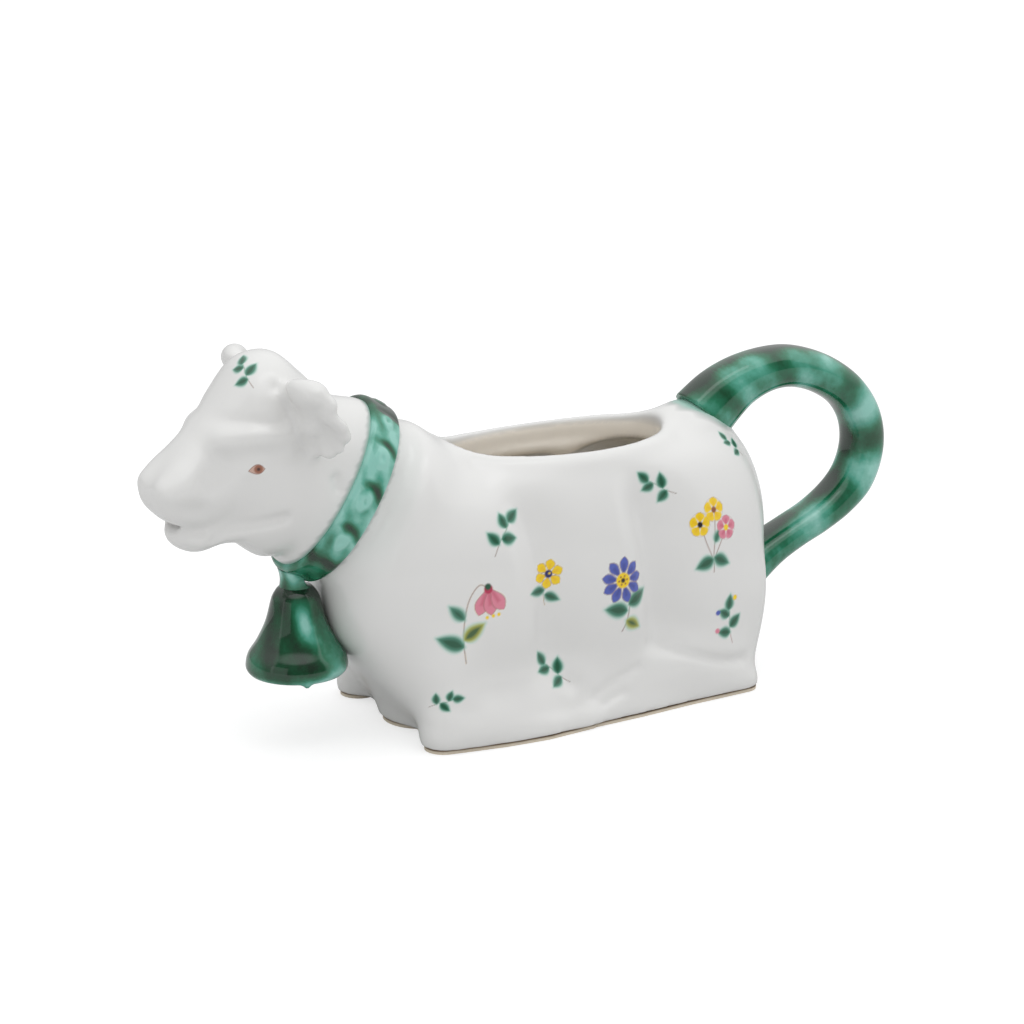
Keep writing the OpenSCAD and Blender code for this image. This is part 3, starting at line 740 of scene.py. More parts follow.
def addEars(clay):
    edge = np.array(ear["edge"] + ear["edge"][:3])
    rows = smoothRows(edge, 6)[6:-6]
    t = np.arange(len(rows)) / 6
    for k, row in enumerate(rows):
        swell = 1 + ear["ruffle"] * math.cos(2.6 * math.pi * t[k]) * (2 < t[k] < 9)
        rim, heart = earPoint(row), earPoint(ear["heart"])
        clay.add(chain([[*heart, ear["thick"] / 3.2], [*rim, ear["thick"] / 2.1 * swell]],
                       mirrored=True), 0.6 if 2.4 < t[k] < 8.6 else 2.6)


def headClay():
    clay, room = Clay(*grids["head"]), Clay(*grids["head"])
    clay.add(headForm())
    clay.add(jawForm(), 1.6)
    for rows in (head["cheek"], head["nostril"]):
        clay.add(chain(headPath(rows), mirrored=True), 2.5)
    addEars(clay)
    clay.soften(head["softRounds"])
    addDents(clay, headDents)
    room.add(headForm(body["wall"], 8, -1.0))
    clay.field = -softMin(-clay.field, room.field, 0.4)
    inner, outer = headPoint(*head["slot"][0]), headPoint(*head["slot"][1])
    slot = [[px, 0, pz, head["slotR"]] for px, pz in (inner, outer)]
    clay.carve(chain(slot, wide=head["slotHalfW"] / head["slotR"]), 0.4)
    return clay


# collar, bell and tail

collar = {"width": 6.6, "height": 1.3, "bosses": 13, "period": 7.2, "emboss": 0.26, "plain": 34.0}
# the bell's painted lights: painted reflections and light on its green tone, and painted shade at its
# top; each has an angle from its front, which faces the camera, a width, a height share, a height
# range, a strength
bell = {"radius": 10.0, "height": 17.2, "wall": 1.8, "neck": 3.2, "stub": 2.31,
        "seatShare": 0.4, "seatHalfW": 3.96,
        "profile": [[0.93, 0.00], [0.985, 0.04], [1.00, 0.10], [0.95, 0.215], [0.78, 0.37],
                    [0.605, 0.587], [0.495, 0.825], [0.45, 0.90], [0.38, 0.965], [0.32, 1.00]],
        "ball": 1.7, "front": -118.8, "drip": 0.8,
        "lights": [(22, 21, 0.66, 0.26, 0.85), (66, 26, 0.30, 0.28, 0.55), (50, 34, 0.02, 0.10, 0.7),
                   (0, 300, 0.0, 0.05, 0.45), (-60, 30, 0.16, 0.12, 0.35), (0, 300, 0.97, 0.05, -0.3)]}
# the tail's rings: share of the reach and of the height, thickness and width
tail = {"reach": 40.0, "height": 45.0, "thick": 9.2, "width": 10.6, "root": (42.78, 15.1),
        "sink": 0.9,
        "rings": [[-0.22, 0.86, 1.45, 1.15], [-0.10, 0.95, 1.32, 1.08], [0.02, 1.01, 1.14, 1.02],
                  [0.16, 1.045, 1.00, 1.0], [0.30, 1.05, 0.95, 1.0], [0.44, 1.02, 0.92, 1.0],
                  [0.57, 0.965, 0.90, 1.0], [0.68, 0.89, 0.88, 1.0], [0.76, 0.79, 0.89, 1.0],
                  [0.795, 0.68, 0.91, 1.0], [0.785, 0.57, 0.91, 1.0], [0.73, 0.46, 0.90, 1.0],
                  [0.63, 0.375, 0.84, 0.98], [0.50, 0.305, 0.78, 0.96], [0.36, 0.25, 0.76, 0.96],
                  [0.22, 0.19, 0.80, 1.0], [0.09, 0.115, 0.92, 1.05], [-0.02, 0.04, 1.05, 1.10]]}


# places on the band: at an angle round the neck, across the band and out from the neck
def bandPoint(t, d, out):
    c, s = np.cos(t), np.sin(t)
    n = neck["square"]
    r = (np.abs(c) ** n + np.abs(s) ** n) ** (-1 / n)
    place = neck["centre"] + leanWay * d[..., None]
    place = place + acrossWay * ((neck["halfH"] + out) * c * r)[..., None]
    place[..., 1] += (neck["halfW"] + out) * s * r
    return place


# the band's relief and tone at an angle round the neck and a place across the band, in mm: a pale oval
# boss and a dark comma take turns, the part over the bell is plain, and the top of the band, over the
# nape, is darkened as painted shade
def collarPattern(t, d):
    pitch = 2 * np.pi / collar["bosses"]
    s = (np.mod(t + pitch / 2, pitch) / pitch - 0.5) * collar["period"]
    plain = unit(np.abs(np.degrees(t) - 180) / collar["plain"] - 1)
    boss = np.clip(1.15 - np.hypot((s + 1.5) / 1.7, (d - 0.2) / 1.55), 0, 0.5) * 2
    core = unit(1.0 - np.hypot((s + 1.5) / 0.7, (d - 0.2) / 0.6))
    ring = np.hypot(s + 1.3, d * 0.9 - 0.1) - 2.35
    comma = np.exp(-(ring / 0.85) ** 2) * unit(s * 0.7 + 0.2 - 0.25 * d)
    relief = plain * (boss * 0.7 - 0.5 * core - 0.35 * comma)
    # a little mottle, and painted shade on the top of the band over the nape
    mottleAndTopShade = 0.08 * np.sin(5.1 * t + 0.9 * d) + 0.08 * np.sin(17 * t - 1.7 * d) \
        - 0.9 * np.exp(-(np.degrees(np.minimum(t, 2 * np.pi - t)) / 30) ** 4)
    shade = plain * (0.88 + 0.3 * boss - 0.15 * core - 0.80 * comma) + (1 - plain) * 0.46
    band = np.exp(-((np.degrees(t) - 180 - collar["plain"] * 1.35) / 4.5) ** 2) \
        + np.exp(-((180 - np.degrees(t) - collar["plain"] * 1.35) / 4.5) ** 2)
    return relief, shade + mottleAndTopShade - 0.5 * band


def collarPiece(material):
    t = (np.arange(720) + 0.5) * 2 * np.pi / 720
    share = np.concatenate([[-0.5, -0.5], np.linspace(-0.5, 0.5, 27), [0.5, 0.5]])
    edge = np.sqrt(unit(1 - (np.abs(share) / 0.5) ** 7))
    tt, dd = np.meshgrid(t, share, indexing="ij")
    take = unit((0.5 - np.abs(dd)) / 0.1)
    relief, shade = collarPattern(tt, dd * collar["width"])
    out = collar["height"] * (0.35 + 0.65 * edge[None, :] + collar["emboss"] * (relief * take))
    out[:, 0] = out[:, -1] = -0.5
    out[:, 1] = out[:, -2] = 0.1
    rings = bandPoint(tt, dd * collar["width"], out)
    shade = (shade + 0.12 * (1 - take)).ravel()
    return ringPiece("collar", rings, material, lambda points: shade, joined=True)


# how light the green glaze is at each point, with the painted light and shade of the bell, collar and
# tail in it
def writeTone(obj, shade):
    layer = obj.data.attributes.new("tone", "FLOAT", "POINT")
    layer.data.foreach_set("value", shade)


def ringPiece(name, rings, material, shade, joined=False):
    points, faces = ringFaces(rings, joined)
    obj = meshPiece(name, points, faces, material)
    facesOut(obj)
    writeTone(obj, shade(points))
    return obj


# rings round the z axis from rows of radius and height
def turned(profile, count=112):
    t = (np.arange(count) + 0.5) * 2 * np.pi / count
    rows = np.array(profile, float)
    return np.stack([rows[:, :1] * np.cos(t), rows[:, :1] * np.sin(t),
                     np.repeat(rows[:, 1:], count, 1)], 2)


# the x of the bell's axis and the z of its top
def bellPlace():
    low = neck["centre"] - acrossWay * (neck["halfH"] + collar["height"])
    return low[0] + bell["neck"] * 0.3, low[2] - bell["stub"]


def bellPiece(material):
    x, top = bellPlace()
    rows = smoothRows(bell["profile"], 6)
    outer = rows * (bell["radius"], bell["height"])
    inner = rows[:-12][::-1] * (bell["radius"], bell["height"] - bell["wall"]) \
        - (bell["wall"], 0)
    lip = [[0.89 * bell["radius"], 0.0], [0.80 * bell["radius"], 0.0]]
    profile = np.vstack([[[0.05, bell["height"]]], outer[::-1], lip, inner[::-1],
                         [[0.05, inner[0, 1] + 0.01]]])
    rings = turned(profile)
    turn = np.degrees(np.arctan2(rings[..., 1], rings[..., 0])) - bell["front"]
    turn = np.mod(turn + 180, 360) - 180
    drip = np.exp(-((turn - 16) / 4.5) ** 2) * np.exp(-(rings[..., 2] / 0.9) ** 2)
    rings[..., 2] -= bell["drip"] * drip * (np.hypot(rings[..., 0], rings[..., 1]) > 7)
    rings[..., 0] += x
    rings[..., 2] += top - bell["height"]
    turn = np.append(turn.ravel(), (0, 0))

    def shade(points):
        rise = (points[:, 2] - top + bell["height"]) / bell["height"]
        total = 0.10 + 0.10 * np.sin(np.radians(7 * turn) + 9 * rise)
        # painted reflections, painted light and painted shade, placed by the angle from the side that
        # faces the camera
        for side, wide, level, tall, light in bell["lights"]:
            total += light * np.exp(-((turn - side) / wide) ** 2 - ((rise - level) / tall) ** 2)
        return total
    return ringPiece("bell", rings, material, shade)


def clapperPiece(material):
    x, top = bellPlace()
    r = bell["ball"]
    z = top - bell["height"] + r * 0.25
    rows = [[r * math.sin(a), z - r * math.cos(a)] for a in np.linspace(0.05, 2.55, 14)]
    rows += [[0.45 * r, z + 1.3 * r], [0.45 * r, top - bell["wall"] - 1.6]]
    rings = turned(rows, 32)
    rings[..., 0] += x + r
    return ringPiece("clapper", rings, material, lambda points: np.full(len(points), 0.2))


# places on the band's underside, where the bell's stub is joined on
def underBand(x, y):
    w, h = neck["halfW"] + collar["height"], neck["halfH"] + collar["height"]
    u = -h * (1 - (np.abs(y) / w) ** neck["square"]) ** (1 / neck["square"])
    d = (x - acrossWay[0] * (u + h)) / leanWay[0]
    place = neck["centre"] + leanWay * d[..., None] + acrossWay * u[..., None]
    place[..., 1] += y
    return place


def stubPiece(material):
    x, top = bellPlace()
    t = (np.arange(64) + 0.5) * 2 * np.pi / 64
    foot = np.stack([x + bell["neck"] * np.cos(t), bell["neck"] * np.sin(t),
                     np.full(64, top - 0.1)], 1)
    reach = bell["seatShare"] * collar["width"] * -leanWay[0]
    seat = underBand(reach * np.cos(t), bell["seatHalfW"] * np.sin(t))
    rings = [foot]
    for f in np.linspace(0.08, 1, 9):
        slim = 1 - 0.10 * math.sin(math.pi * f)
        ring = foot * (1 - f) + seat * f
        mid = ring.mean(0)
        rings.append(mid + (ring - mid) * (slim, slim, 1))
    for k in (0.66, 0.33):
        rings.append(underBand(k * reach * np.cos(t), k * bell["seatHalfW"] * np.sin(t)))

    def shade(points):
        rise = (points[:, 2] - top) / 4.0
        return 0.25 + 0.5 * unit(rise * 1.6) + 0.2 * np.sin(2.1 * points[:, 1] + 1)
    return ringPiece("bellStub", np.array(rings), material, shade)


def tailForm():
    rows = np.array(tail["rings"], float)
    place = rows[:, :2] * (tail["reach"], tail["height"]) + tail["root"]
    way = np.array([place[min(len(rows) - 1, i + 1)] - place[max(0, i - 1)]
                    for i in range(len(rows))])
    way /= np.linalg.norm(way, axis=1)[:, None]
    up = np.stack([-way[:, 1], way[:, 0]], 1) * rows[:, 2:3] * tail["thick"] / 2
    table = np.hstack([place + up, place - up, rows[:, 3:4] * tail["width"] / 2,
                       np.full((len(rows), 1), 2.2)])
    return slantForm(table[::-1], 0.0, 8)


# the tail, whose two ends sink a little into the trunk's skin
def tailClay():
    clay, trunk = Clay(*grids["tail"]), Clay(*grids["tail"])
    clay.add(tailForm())
    trunk.add(trunkForm())
    trunk.add(humpForm(), 5.0)
    clay.field = np.maximum(clay.field, -trunk.field - tail["sink"])
    return clay


# how far along the tail a point is, how near its ridges, and how far out from its middle
def tailNear(points):
    rows = smoothRows(tail["rings"], 6)
    path = rows[:, :2] * (tail["reach"], tail["height"]) + tail["root"]
    k = np.hypot(points[:, :1] - path[:, 0], points[:, 2:] - path[:, 1]).argmin(1)
    a, b = np.maximum(k - 1, 0), np.minimum(k + 1, len(rows) - 1)
    step = path[b] - path[a]
    rel = points[:, ::2] - path[a]
    share = unit((rel * step).sum(1) / (step ** 2).sum(1))
    ridge = np.hypot(*(rel - share[:, None] * step).T) / (rows[k, 2] * tail["thick"] / 2)
    way = (a + (b - a) * share) / len(rows) * 15
    return way, ridge, np.hypot(ridge, points[:, 1] / rows[k, 3] / tail["width"] * 2)


# light patches along the tail's sides, and painted shade on its ridges
def tailTone(points):
    way, ridge = tailNear(points)[:2]
    side = points[:, 2] - 38 + 0.4 * points[:, 0]
    patch = 0.60 * np.sin(2.6 * way - 3.1) + 0.40 * np.sin(4.3 * way + 0.35 * side + 1.3)
    # the last term is painted shade on the ridges
    return 0.62 + 0.36 * patch - 0.60 * unit(ridge) ** 16


def clayPiece(name, clay, material):
    points, faces = clay.skin()
    points = relax(points, faces, 3)
    return meshPiece(name, points, faces, material), points


# brushwork: flat strokes in mm on a plane that touches the glaze

def tone(r, g, b):
    return np.array([((c / 255 + 0.055) / 1.055) ** 2.4 if c > 10 else c / 3294.6
                     for c in (r, g, b)])


ink = {"halo": tone(146, 208, 190), "teal": tone(62, 138, 112), "leaf": tone(22, 82, 54),
       "yellow": tone(252, 214, 26), "amber": tone(236, 172, 14), "blue": tone(82, 98, 186),
       "navy": tone(38, 36, 104), "rose": tone(228, 138, 158), "wine": tone(186, 44, 82),
       "dark": tone(34, 18, 24), "pen": tone(140, 98, 82), "rust": tone(150, 84, 54),
       "olive": tone(196, 190, 50), "blush": tone(206, 158, 134)}


def turnedBy(u, v, x, y, angle):
    a = math.radians(angle)
    du, dv = u - x, v - y
    return du * math.cos(a) + dv * math.sin(a), dv * math.cos(a) - du * math.sin(a)


# how far a point is outside a leaf that starts at x, y and points along its angle
def leafFar(u, v, x, y, length, width, angle, tip=0.75):
    a, b = turnedBy(u, v, x, y, angle)
    t = unit(a / length)
    half = width / 2 * (np.sin(np.pi * t ** tip) ** 0.8)
    return np.sqrt(np.maximum(np.abs(b) - half, 0) ** 2 + (a - t * length) ** 2) \
        + np.minimum(np.abs(b) - half, 0)


def lineFar(u, v, points, width):
    best = None
    for (x0, y0), (x1, y1) in zip(points[:-1], points[1:]):
        dx, dy = x1 - x0, y1 - y0
        t = unit(((u - x0) * dx + (v - y0) * dy) / (dx * dx + dy * dy + 1e-9))
        far = np.sqrt((u - x0 - t * dx) ** 2 + (v - y0 - t * dy) ** 2) - width / 2
        best = far if best is None else np.minimum(best, far)
    return best


# colour and cover once a share of another colour lies over them
def layOver(colour, cover, other, share):
    total = share + cover * (1 - share)
    keep = np.where(total > 1e-6, share / np.maximum(total, 1e-6), 1)[:, None]
    return colour * (1 - keep) + other * keep, total


class Brush:
    # colour and cover at a set of plane points
    def __init__(self, u, v):
        self.u, self.v = u, v
        self.colour = np.zeros((len(u), 3))
        self.cover = np.zeros(len(u))

    def lay(self, far, colour, strength=1.0, soft=0.16):
        share = strength * unit(0.5 - far / soft)
        self.colour, self.cover = layOver(self.colour, self.cover, colour, share)

    def leaf(self, x, y, length, width, angle, edge=None):
        far = leafFar(self.u, self.v, x, y, length, width, angle)
        self.lay(far - 0.1, ink["halo"], 0.8, 0.7)
        self.lay(far + 0.05, ink[edge or "teal"], 0.9, 0.5)
        self.lay(far + 0.38, ink["leaf"], 0.9, 0.6)

    def petal(self, x, y, length, width, angle, colour, shade, pen=True):
        far = leafFar(self.u, self.v, x, y, length, width, angle, 1.5)
        self.lay(far, ink[colour], 1.0, 0.2)
        a, b = turnedBy(self.u, self.v, x, y, angle)
        streak = np.maximum(np.abs(b) - 0.16, np.maximum(-a, a - 0.62 * length))
        self.lay(np.maximum(streak, far + 0.2), ink[shade], 0.55, 0.5)
        if pen:
            self.lay(np.abs(far) - 0.035, ink["pen"], 0.75, 0.14)

    def line(self, points, width=0.13):
        self.lay(lineFar(self.u, self.v, smoothRows(points, 5), width), ink["pen"], 0.85, 0.14)

    def dot(self, x, y, r, colour, soft=0.18):
        self.lay(np.hypot(self.u - x, self.v - y) - r, ink[colour], 1.0, soft)


def daisy(b):
    b.line([(0.3, -1.0), (0.7, -3.0), (0.2, -5.2), (-0.5, -6.4)])
    b.leaf(0.5, -3.2, 3.3, 1.9, 20)
    b.leaf(0.35, -3.9, 3.2, 1.9, 165)
    b.leaf(0.1, -5.1, 2.4, 1.5, -35, "olive")
    for k in range(9):
        b.petal(0.55 * math.cos(k * 0.698), 0.55 * math.sin(k * 0.698), 2.35, 1.25,
                40 * k + 4 * math.sin(5 * k), "blue", "navy")
    b.dot(0, 0, 0.95, "yellow")
    for k in range(6):
        b.dot(0.55 * math.cos(k * 1.05), 0.55 * math.sin(k * 1.05), 0.12, "rust", 0.12)
    b.dot(0, 0, 0.3, "dark")


def smallFlower(b, x, y, colour, shade, centre):
    for k in range(5):
        a = 72 * k + 18
        b.petal(x + 0.25 * math.cos(math.radians(a)), y + 0.25 * math.sin(math.radians(a)),
                1.45, 1.5, a, colour, shade, pen=False)
    b.lay(np.abs(np.hypot(b.u - x, b.v - y) - 1.62) - 0.02, ink["pen"], 0.45, 0.12)
    b.dot(x, y, 0.42, centre)


def forgetMeNots(b):
    b.line([(-2.2, 1.2), (-1.2, -1.2), (0.1, -3.6), (0.3, -5.2)])
    b.line([(2.1, 0.6), (1.2, -1.4), (0.1, -3.6)])
    b.line([(0.2, 2.8), (0.2, 0.2), (0.1, -3.6)])
    b.leaf(0.1, -3.4, 3.0, 1.9, 205)
    b.leaf(0.2, -3.2, 2.9, 1.8, -20)
    b.leaf(0.3, -1.2, 1.9, 1.1, 70)
    smallFlower(b, -2.3, 1.3, "yellow", "amber", "dark")
    smallFlower(b, 2.2, 0.7, "rose", "wine", "yellow")
    smallFlower(b, 0.1, 3.2, "yellow", "amber", "rust")


def bellflower(b):
    b.line([(-1.6, -5.8), (-1.4, -2.6), (-0.2, 1.2), (1.5, 3.0), (2.6, 2.4)])
    b.leaf(-1.5, -3.8, 3.6, 1.9, 150)
    b.leaf(-1.4, -3.0, 3.2, 1.8, 25, "olive")
    b.leaf(-0.9, -0.6, 2.6, 1.4, 128)
    for k, a in enumerate((-118, -92, -66)):
        b.petal(2.6 + 0.2 * (k - 1), 2.4, 3.3, 1.7, a, "rose", "wine")
    b.dot(2.6, 2.3, 0.55, "wine")
    b.dot(2.6, 2.6, 0.4, "leaf")
    for x in (1.9, 2.7, 3.4):
        b.dot(x, -1.05, 0.22, "yellow", 0.14)


def wheelFlower(b):
    b.line([(0, -1), (-0.3, -3.2), (0.4, -5.4)])
    b.leaf(-0.2, -2.8, 3.0, 1.7, 195)
    b.leaf(0.0, -3.6, 3.0, 1.7, -12)
    for k in range(6):
        b.petal(0.4 * math.cos(k * 1.047 + 0.5), 0.4 * math.sin(k * 1.047 + 0.5), 2.2, 1.7,
                60 * k + 30, "yellow", "amber")
    b.dot(0, 0, 0.7, "navy")
    b.dot(0.15, 0.15, 0.2, "yellow", 0.12)


def sprig(b):
    b.line([(-0.6, -3.8), (-0.3, -1.6), (0.5, 1.0), (0.4, 3.0)], 0.11)
    for x, y, n, w, a in ((-0.35, -2.0, 2.5, 1.75, 152), (-0.15, -1.2, 2.7, 1.85, 22),
                          (0.3, 0.6, 2.4, 1.7, 128), (0.45, 1.6, 2.6, 1.75, 62)):
        b.leaf(x, y, n, w, a)


def budSprig(b):
    sprig(b)
    for x, y, c in ((-1.5, 2.2, "blue"), (2.3, 2.9, "yellow"), (-2.5, -0.6, "rose")):
        b.dot(x, y, 0.42, c, 0.2)


def eyeStrokes(b):
    w = 1.5 - 0.12 * b.u
    lid = np.abs(b.v + 0.05 * b.u ** 2) - 0.86 * (1 - unit(np.abs(b.u) / w) ** 2)
    lid = lid + np.maximum(np.abs(b.u) - w, 0)
    b.lay(lid + 0.05, ink["blush"], 0.8, 0.3)
    b.lay(np.abs(lid) - 0.09, ink["rust"], 0.9, 0.16)
    iris = np.hypot(b.u - 0.15, b.v * 1.05)
    b.lay(np.maximum(iris - 0.85, lid), ink["rust"], 0.85, 0.3)
    b.lay(np.maximum(iris - 0.34, lid), ink["dark"], 0.8, 0.25)


# where each motif stands: a place near the glaze, its turn in degrees, its size and its reach
flankFlowers = [
    (bellflower, (-30.5, 27.5), 8, 1.65), (sprig, (-20.5, 44.0), -25, 1.35),
    (daisy, (3.5, 29.0), 5, 1.65), (sprig, (-11.5, 13.5), 60, 1.25),
    (forgetMeNots, (26.0, 35.5), -6, 1.5), (sprig, (12.0, 46.0), 75, 1.2),
    (budSprig, (29.5, 16.5), 20, 1.3), (sprig, (-37.0, 10.5), -60, 0.9),
    (wheelFlower, (-13.0, 32.0), -12, 1.15),
]
otherFlowers = [
    (daisy, (46, -9.5, 30), -8, 1.1), (bellflower, (46, 10, 31), 10, 1.1),
    (sprig, (37, -12, 52), 40, 0.9), (sprig, (37, 12, 52), -40, 0.9),
]
headFlowers = [(sprig, (-70.5, -4.5, 77.2), 62, 1.15)]
eyePlaces = [(eyeStrokes, (-69.95, -10.5, 58.7), 4, 1.0),
             (eyeStrokes, (-69.95, 10.5, 58.7), -4, 1.0)]
motifReach = {"flower": 7.4, "eye": 2.6}


# the near flank's motifs, and the same motifs in another order along the far flank
def flankPlaces():
    places = []
    for draw, (x, z), angle, size in flankFlowers:
        far = (-8 - x + 2 * math.sin(x), 24, z + 1.5 * math.cos(3 * x))
        places += [(draw, (x, -24, z), angle, size), (draw, far, -angle, size)]
    return places + otherFlowers


def readVectors(source, key):
    values = np.empty(len(source) * 3)
    source.foreach_get(key, values)
    return values.reshape(-1, 3)


# away from the middle of the trunk
def outward(place):
    way = np.array(place, float) - (-8, 0, 30)
    return way / np.linalg.norm(way)


# where a motif sits on the glaze: its middle, its normal, and its own side and up
def motifFrame(co, normal, place, angle, size):
    far = np.linalg.norm(co - place, axis=1) + 2.0 * (1 - normal @ outward(place))
    k = far.argmin()
    close = np.linalg.norm(co - co[k], axis=1) < 2.2 * size
    n = normal[close & (normal @ normal[k] > 0.3)].mean(0)
    n /= np.linalg.norm(n)
    up = np.array([0, 0, 1.0]) - n[2] * n
    if np.linalg.norm(up) < 0.3:
        up = np.array([1.0, 0, 0]) - n[0] * n
    up /= np.linalg.norm(up)
    side = np.cross(up, n)
    a = math.radians(angle)
    return co[k], n, side * math.cos(a) + up * math.sin(a), up * math.cos(a) - side * math.sin(a)


# cuts the faces at the marked points finer and keeps the normals of the coarser skin
def refine(mesh, near, normal):
    work = bmesh.new()
    work.from_mesh(mesh)
    layer = work.verts.layers.float_vector.new("round")
    for vert, n in zip(work.verts, normal):
        vert[layer] = n
    work.faces.ensure_lookup_table()
    edges = {e for v, hit in zip(work.verts, near) if hit for f in v.link_faces for e in f.edges}
    bmesh.ops.subdivide_edges(work, edges=list(edges), cuts=2, use_grid_fill=True)
    work.to_mesh(mesh)
    work.free()
    normal = readVectors(mesh.attributes["round"].data, "vector")
    mesh.attributes.remove(mesh.attributes["round"])
    normal /= np.linalg.norm(normal, axis=1)[:, None]
    mesh.polygons.foreach_set("use_smooth", [True] * len(mesh.polygons))
    mesh.normals_split_custom_set_from_vertices(normal.tolist())
    return readVectors(mesh.vertices, "co") / mm, normal


# the colours on a piece's points: the wholes and extras give a tint and a share everywhere, and
# the motifs are drawn over them; the faces round motifs and in extras are made finer first
def paintOn(obj, places, extras, wholes=()):
    mesh = obj.data
    co, normal = readVectors(mesh.vertices, "co") / mm, readVectors(mesh.vertex_normals, "vector")
    frames = []
    near = np.zeros(len(co), bool)
    for draw, place, angle, size in places:
        middle, n, side, up = motifFrame(co, normal, place, angle, size)
        frames.append((draw, middle, n, side, up, size))
        radius = (motifReach["eye"] if draw is eyeStrokes else motifReach["flower"]) * size
        near |= (np.linalg.norm(co - middle, axis=1) < radius) & (normal @ n > 0.25)
    for test in extras:
        near |= test(co)[1] > 0
    co, normal = refine(mesh, near, normal)
    colour, cover = np.zeros(co.shape), np.zeros(len(co))
    for test in [*wholes, *extras]:
        tint, share = test(co)
        share = unit(share)
        colour = colour * (1 - share[:, None]) + tint * share[:, None]
        cover = share + cover * (1 - share)
    for draw, middle, n, side, up, size in frames:
        hit = np.linalg.norm(co - middle, axis=1) < 1.1 * motifReach["flower"] * size
        hit &= normal @ n > 0.1
        brush = Brush((co[hit] - middle) @ side / size, (co[hit] - middle) @ up / size)
        draw(brush)
        colour[hit], cover[hit] = layOver(colour[hit], cover[hit], brush.colour, brush.cover)
    layer = mesh.color_attributes.new("paint", "FLOAT_COLOR", "POINT")
    layer.data.foreach_set("color", np.hstack([colour, cover[:, None]]).ravel())


# glaze that ran from the collar's edges, as tint and share
def collarHalo(co):
    rel = co - neck["centre"]
    d = np.abs(rel @ leanWay) - collar["width"] / 2
    wave = 0.18 * np.sin(1.9 * co[:, 2]) + 0.12 * np.sin(4.3 * co[:, 2] + co[:, 1])
    share = unit(1 - (d - 0.05) / (1.15 + wave)) ** 1.4 * 0.8
    return ink["halo"], np.where(d > -0.6, share, 0)


# the same where the tail leaves the rump and where it comes back
def tailHalo(co):
    share = np.zeros(len(co))
    near = (co[:, 0] > 20) & (np.abs(co[:, 1]) < 9)
    out = (tailNear(co[near])[2] - 1) * 4.6
    share[near] = unit(1 - out / (1.1 + 0.3 * np.sin(1.7 * co[near, 1]))) ** 1.4 * 0.8
    return ink["halo"], share


# a thin brown band on the body just over the foot: partly the glaze's brown edge, partly painted shade
# in the crease
def footEdgeAndShade(co):
    # brown over the bottom of the body, partly painted shade in the crease
    return tone(132, 108, 84), unit((1.15 - co[:, 2]) / 0.35) * 0.6


# painted warm bounce light in the shade inside the pot, warmer than the glaze outside
def insidePaintedWarmLight(co):
    x, y, z = co.T
    past = mouthFar(x, y, 0.6)
    under = trunkForm(body["wall"] - 1.2)[0](x, y, z)
    inside = np.where(z > 46, unit((0.3 - past) / 0.8) * unit((56 - z) / 3),
                      unit(-under / 0.6))
    # a painted warm light over the inside
    return np.array([0.965, 0.90, 0.80]), inside


# glazes

# noise scales are per metre, bumps a strength and a height in metres
whiteLook = {"dim": (0.825, 0.82, 0.803, 1), "pale": (0.848, 0.843, 0.828, 1), "cloud": 45.0,
             "grain": 160.0, "rough": (0.25, 0.03), "bump": (0.02, 0.0003), "coat": 0.4,
             "coatRough": 0.07, "ior": 1.5}
greenLook = {"stops": [(0.0, (0.008, 0.030, 0.014)), (0.22, (0.006, 0.072, 0.028)),
                       (0.50, (0.018, 0.180, 0.092)), (0.75, (0.095, 0.390, 0.285)),
                       (1.0, (0.300, 0.640, 0.550))],
             "brown": (0.085, 0.098, 0.070, 1), "brownFrom": 0.60, "brownTo": 0.80, "brownMost": 0.2,
             "cloud": 110.0, "fleck": 420.0, "stain": 75.0, "rough": (0.06, 0.08),
             "bump": (0.12, 0.0004), "coat": 0.5, "coatRough": 0.03, "ior": 1.52}
clayLook = {"dim": (0.74, 0.64, 0.50, 1), "pale": (0.84, 0.76, 0.63, 1),
            "edge": (0.20, 0.135, 0.085, 1), "edgeFrom": 0.00055, "edgeTo": 0.00085,
            "wander": 0.0002, "grain": 1400.0, "waver": 260.0, "rough": (0.8, 0.1),
            "bump": (0.3, 0.0002)}


# a soft white with the painted colours over it, among them the painted warm light inside the pot
def whiteGlaze():
    r, look = Recipe("whiteGlaze"), whiteLook
    where = r.where()
    cloud = r.noise(where, look["cloud"], 3)
    skin = r.mix(cloud, look["dim"], look["pale"])
    skin = r.mix(r.node("Attribute", out="Alpha", attribute_name="paint"), skin,
                 r.node("Attribute", attribute_name="paint"))
    rough = look["rough"][0] + look["rough"][1] * r.noise(where, look["grain"], 2)
    return r.finish({"Base Color": skin, "Roughness": rough, "Coat Weight": look["coat"],
                     "Coat Roughness": look["coatRough"], "IOR": look["ior"],
                     "Normal": r.bump(cloud, *look["bump"])})
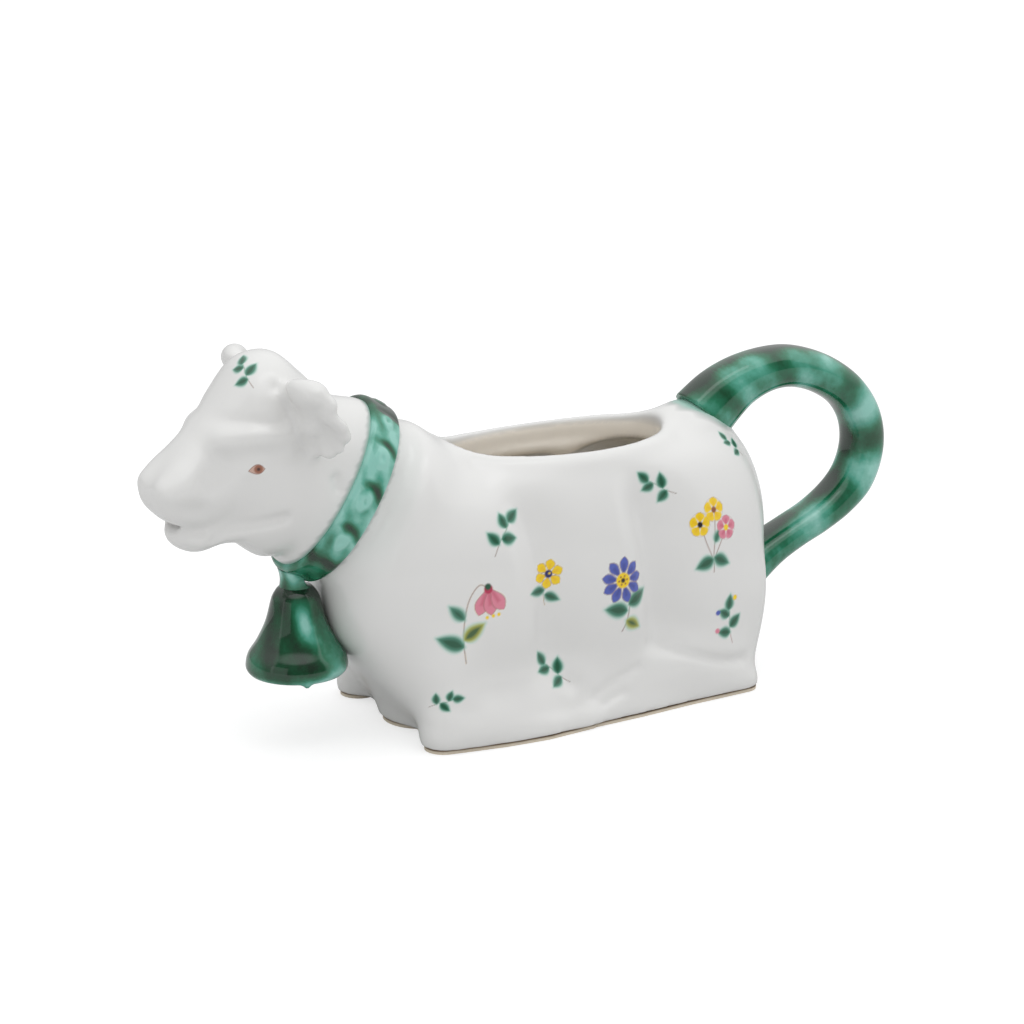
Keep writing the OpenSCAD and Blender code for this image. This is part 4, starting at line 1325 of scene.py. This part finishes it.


# copper green that goes from nearly black to pale by the tone on the points, which holds painted light
# and shade, and two noises
def greenGlaze():
    r, look = Recipe("greenGlaze"), greenLook
    where = r.where()
    cloud = r.noise(where, look["cloud"], 4, 0.6)
    fleck = r.noise(where, look["fleck"], 3)
    shade = r.node("Attribute", out="Fac", attribute_name="tone")
    colour = r.ramp(shade + 0.75 * (cloud - 0.5) + 0.3 * (fleck - 0.5), look["stops"])
    brown = r.reach(r.noise(where, look["stain"], 2), look["brownFrom"], look["brownTo"],
                    look["brownMost"])
    return r.finish({"Base Color": r.mix(brown, colour, look["brown"]),
                     "Roughness": look["rough"][0] + look["rough"][1] * fleck,
                     "Coat Weight": look["coat"], "Coat Roughness": look["coatRough"],
                     "IOR": look["ior"], "Normal": r.bump(cloud, *look["bump"])})


# cream clay with a dark brown band along its top: partly the glaze's brown edge, partly painted shade
# in the crease under the body
def bareClay():
    r, look = Recipe("bareClay"), clayLook
    where = r.where()
    grain = r.noise(where, look["grain"], 4)
    height = r.node("SeparateXYZ", {0: where}, "Z") \
        + look["wander"] * r.noise(where, look["waver"], 2)
    # the edge colour along the top of the foot is partly painted shade in the crease
    colour = r.mix(r.reach(height, look["edgeFrom"], look["edgeTo"]),
                   r.mix(grain, look["dim"], look["pale"]), look["edge"])
    return r.finish({"Base Color": colour, "Roughness": look["rough"][0] + look["rough"][1] * grain,
                     "Normal": r.bump(grain, *look["bump"])})


# the scene

setWorldAndFloor()
setCamera()
setLamps()
white, green, clayFinish = whiteGlaze(), greenGlaze(), bareClay()
print("studio set")

cow, points = clayPiece("cowBody", bodyClay(), white)
standsFor(cow, "white_glaze", "body_shell", "foreleg_left", "foreleg_right", "hindleg_left",
          "hindleg_right")
print("body:", len(points), "points")
paintOn(cow, flankPlaces(), [collarHalo, tailHalo, footEdgeAndShade], [insidePaintedWarmLight])
print("body painted:", len(cow.data.vertices), "points")

face, points = clayPiece("cowHead", headClay(), white)
standsFor(face, "white_glaze", "head_shell", "ear_left", "ear_right")
print("head:", len(points), "points")
paintOn(face, headFlowers + eyePlaces, [collarHalo])
print("head painted:", len(face.data.vertices), "points")

tailLoop, points = clayPiece("tail", tailClay(), green)
writeTone(tailLoop, tailTone(points))
standsFor(tailLoop, "green_glaze", "tail_handle")
print("tail:", len(points), "points")

standsFor(collarPiece(green), "green_glaze", "collar")
standsFor(stubPiece(green), "green_glaze", "bell_loop")
standsFor(bellPiece(green), "green_glaze", "bell")
standsFor(clapperPiece(green), "green_glaze", "clapper")
print("collar and bell made")

bare = frame["nodes"]["bare_foot"].data
bare.materials.clear()
bare.materials.append(clayFinish)
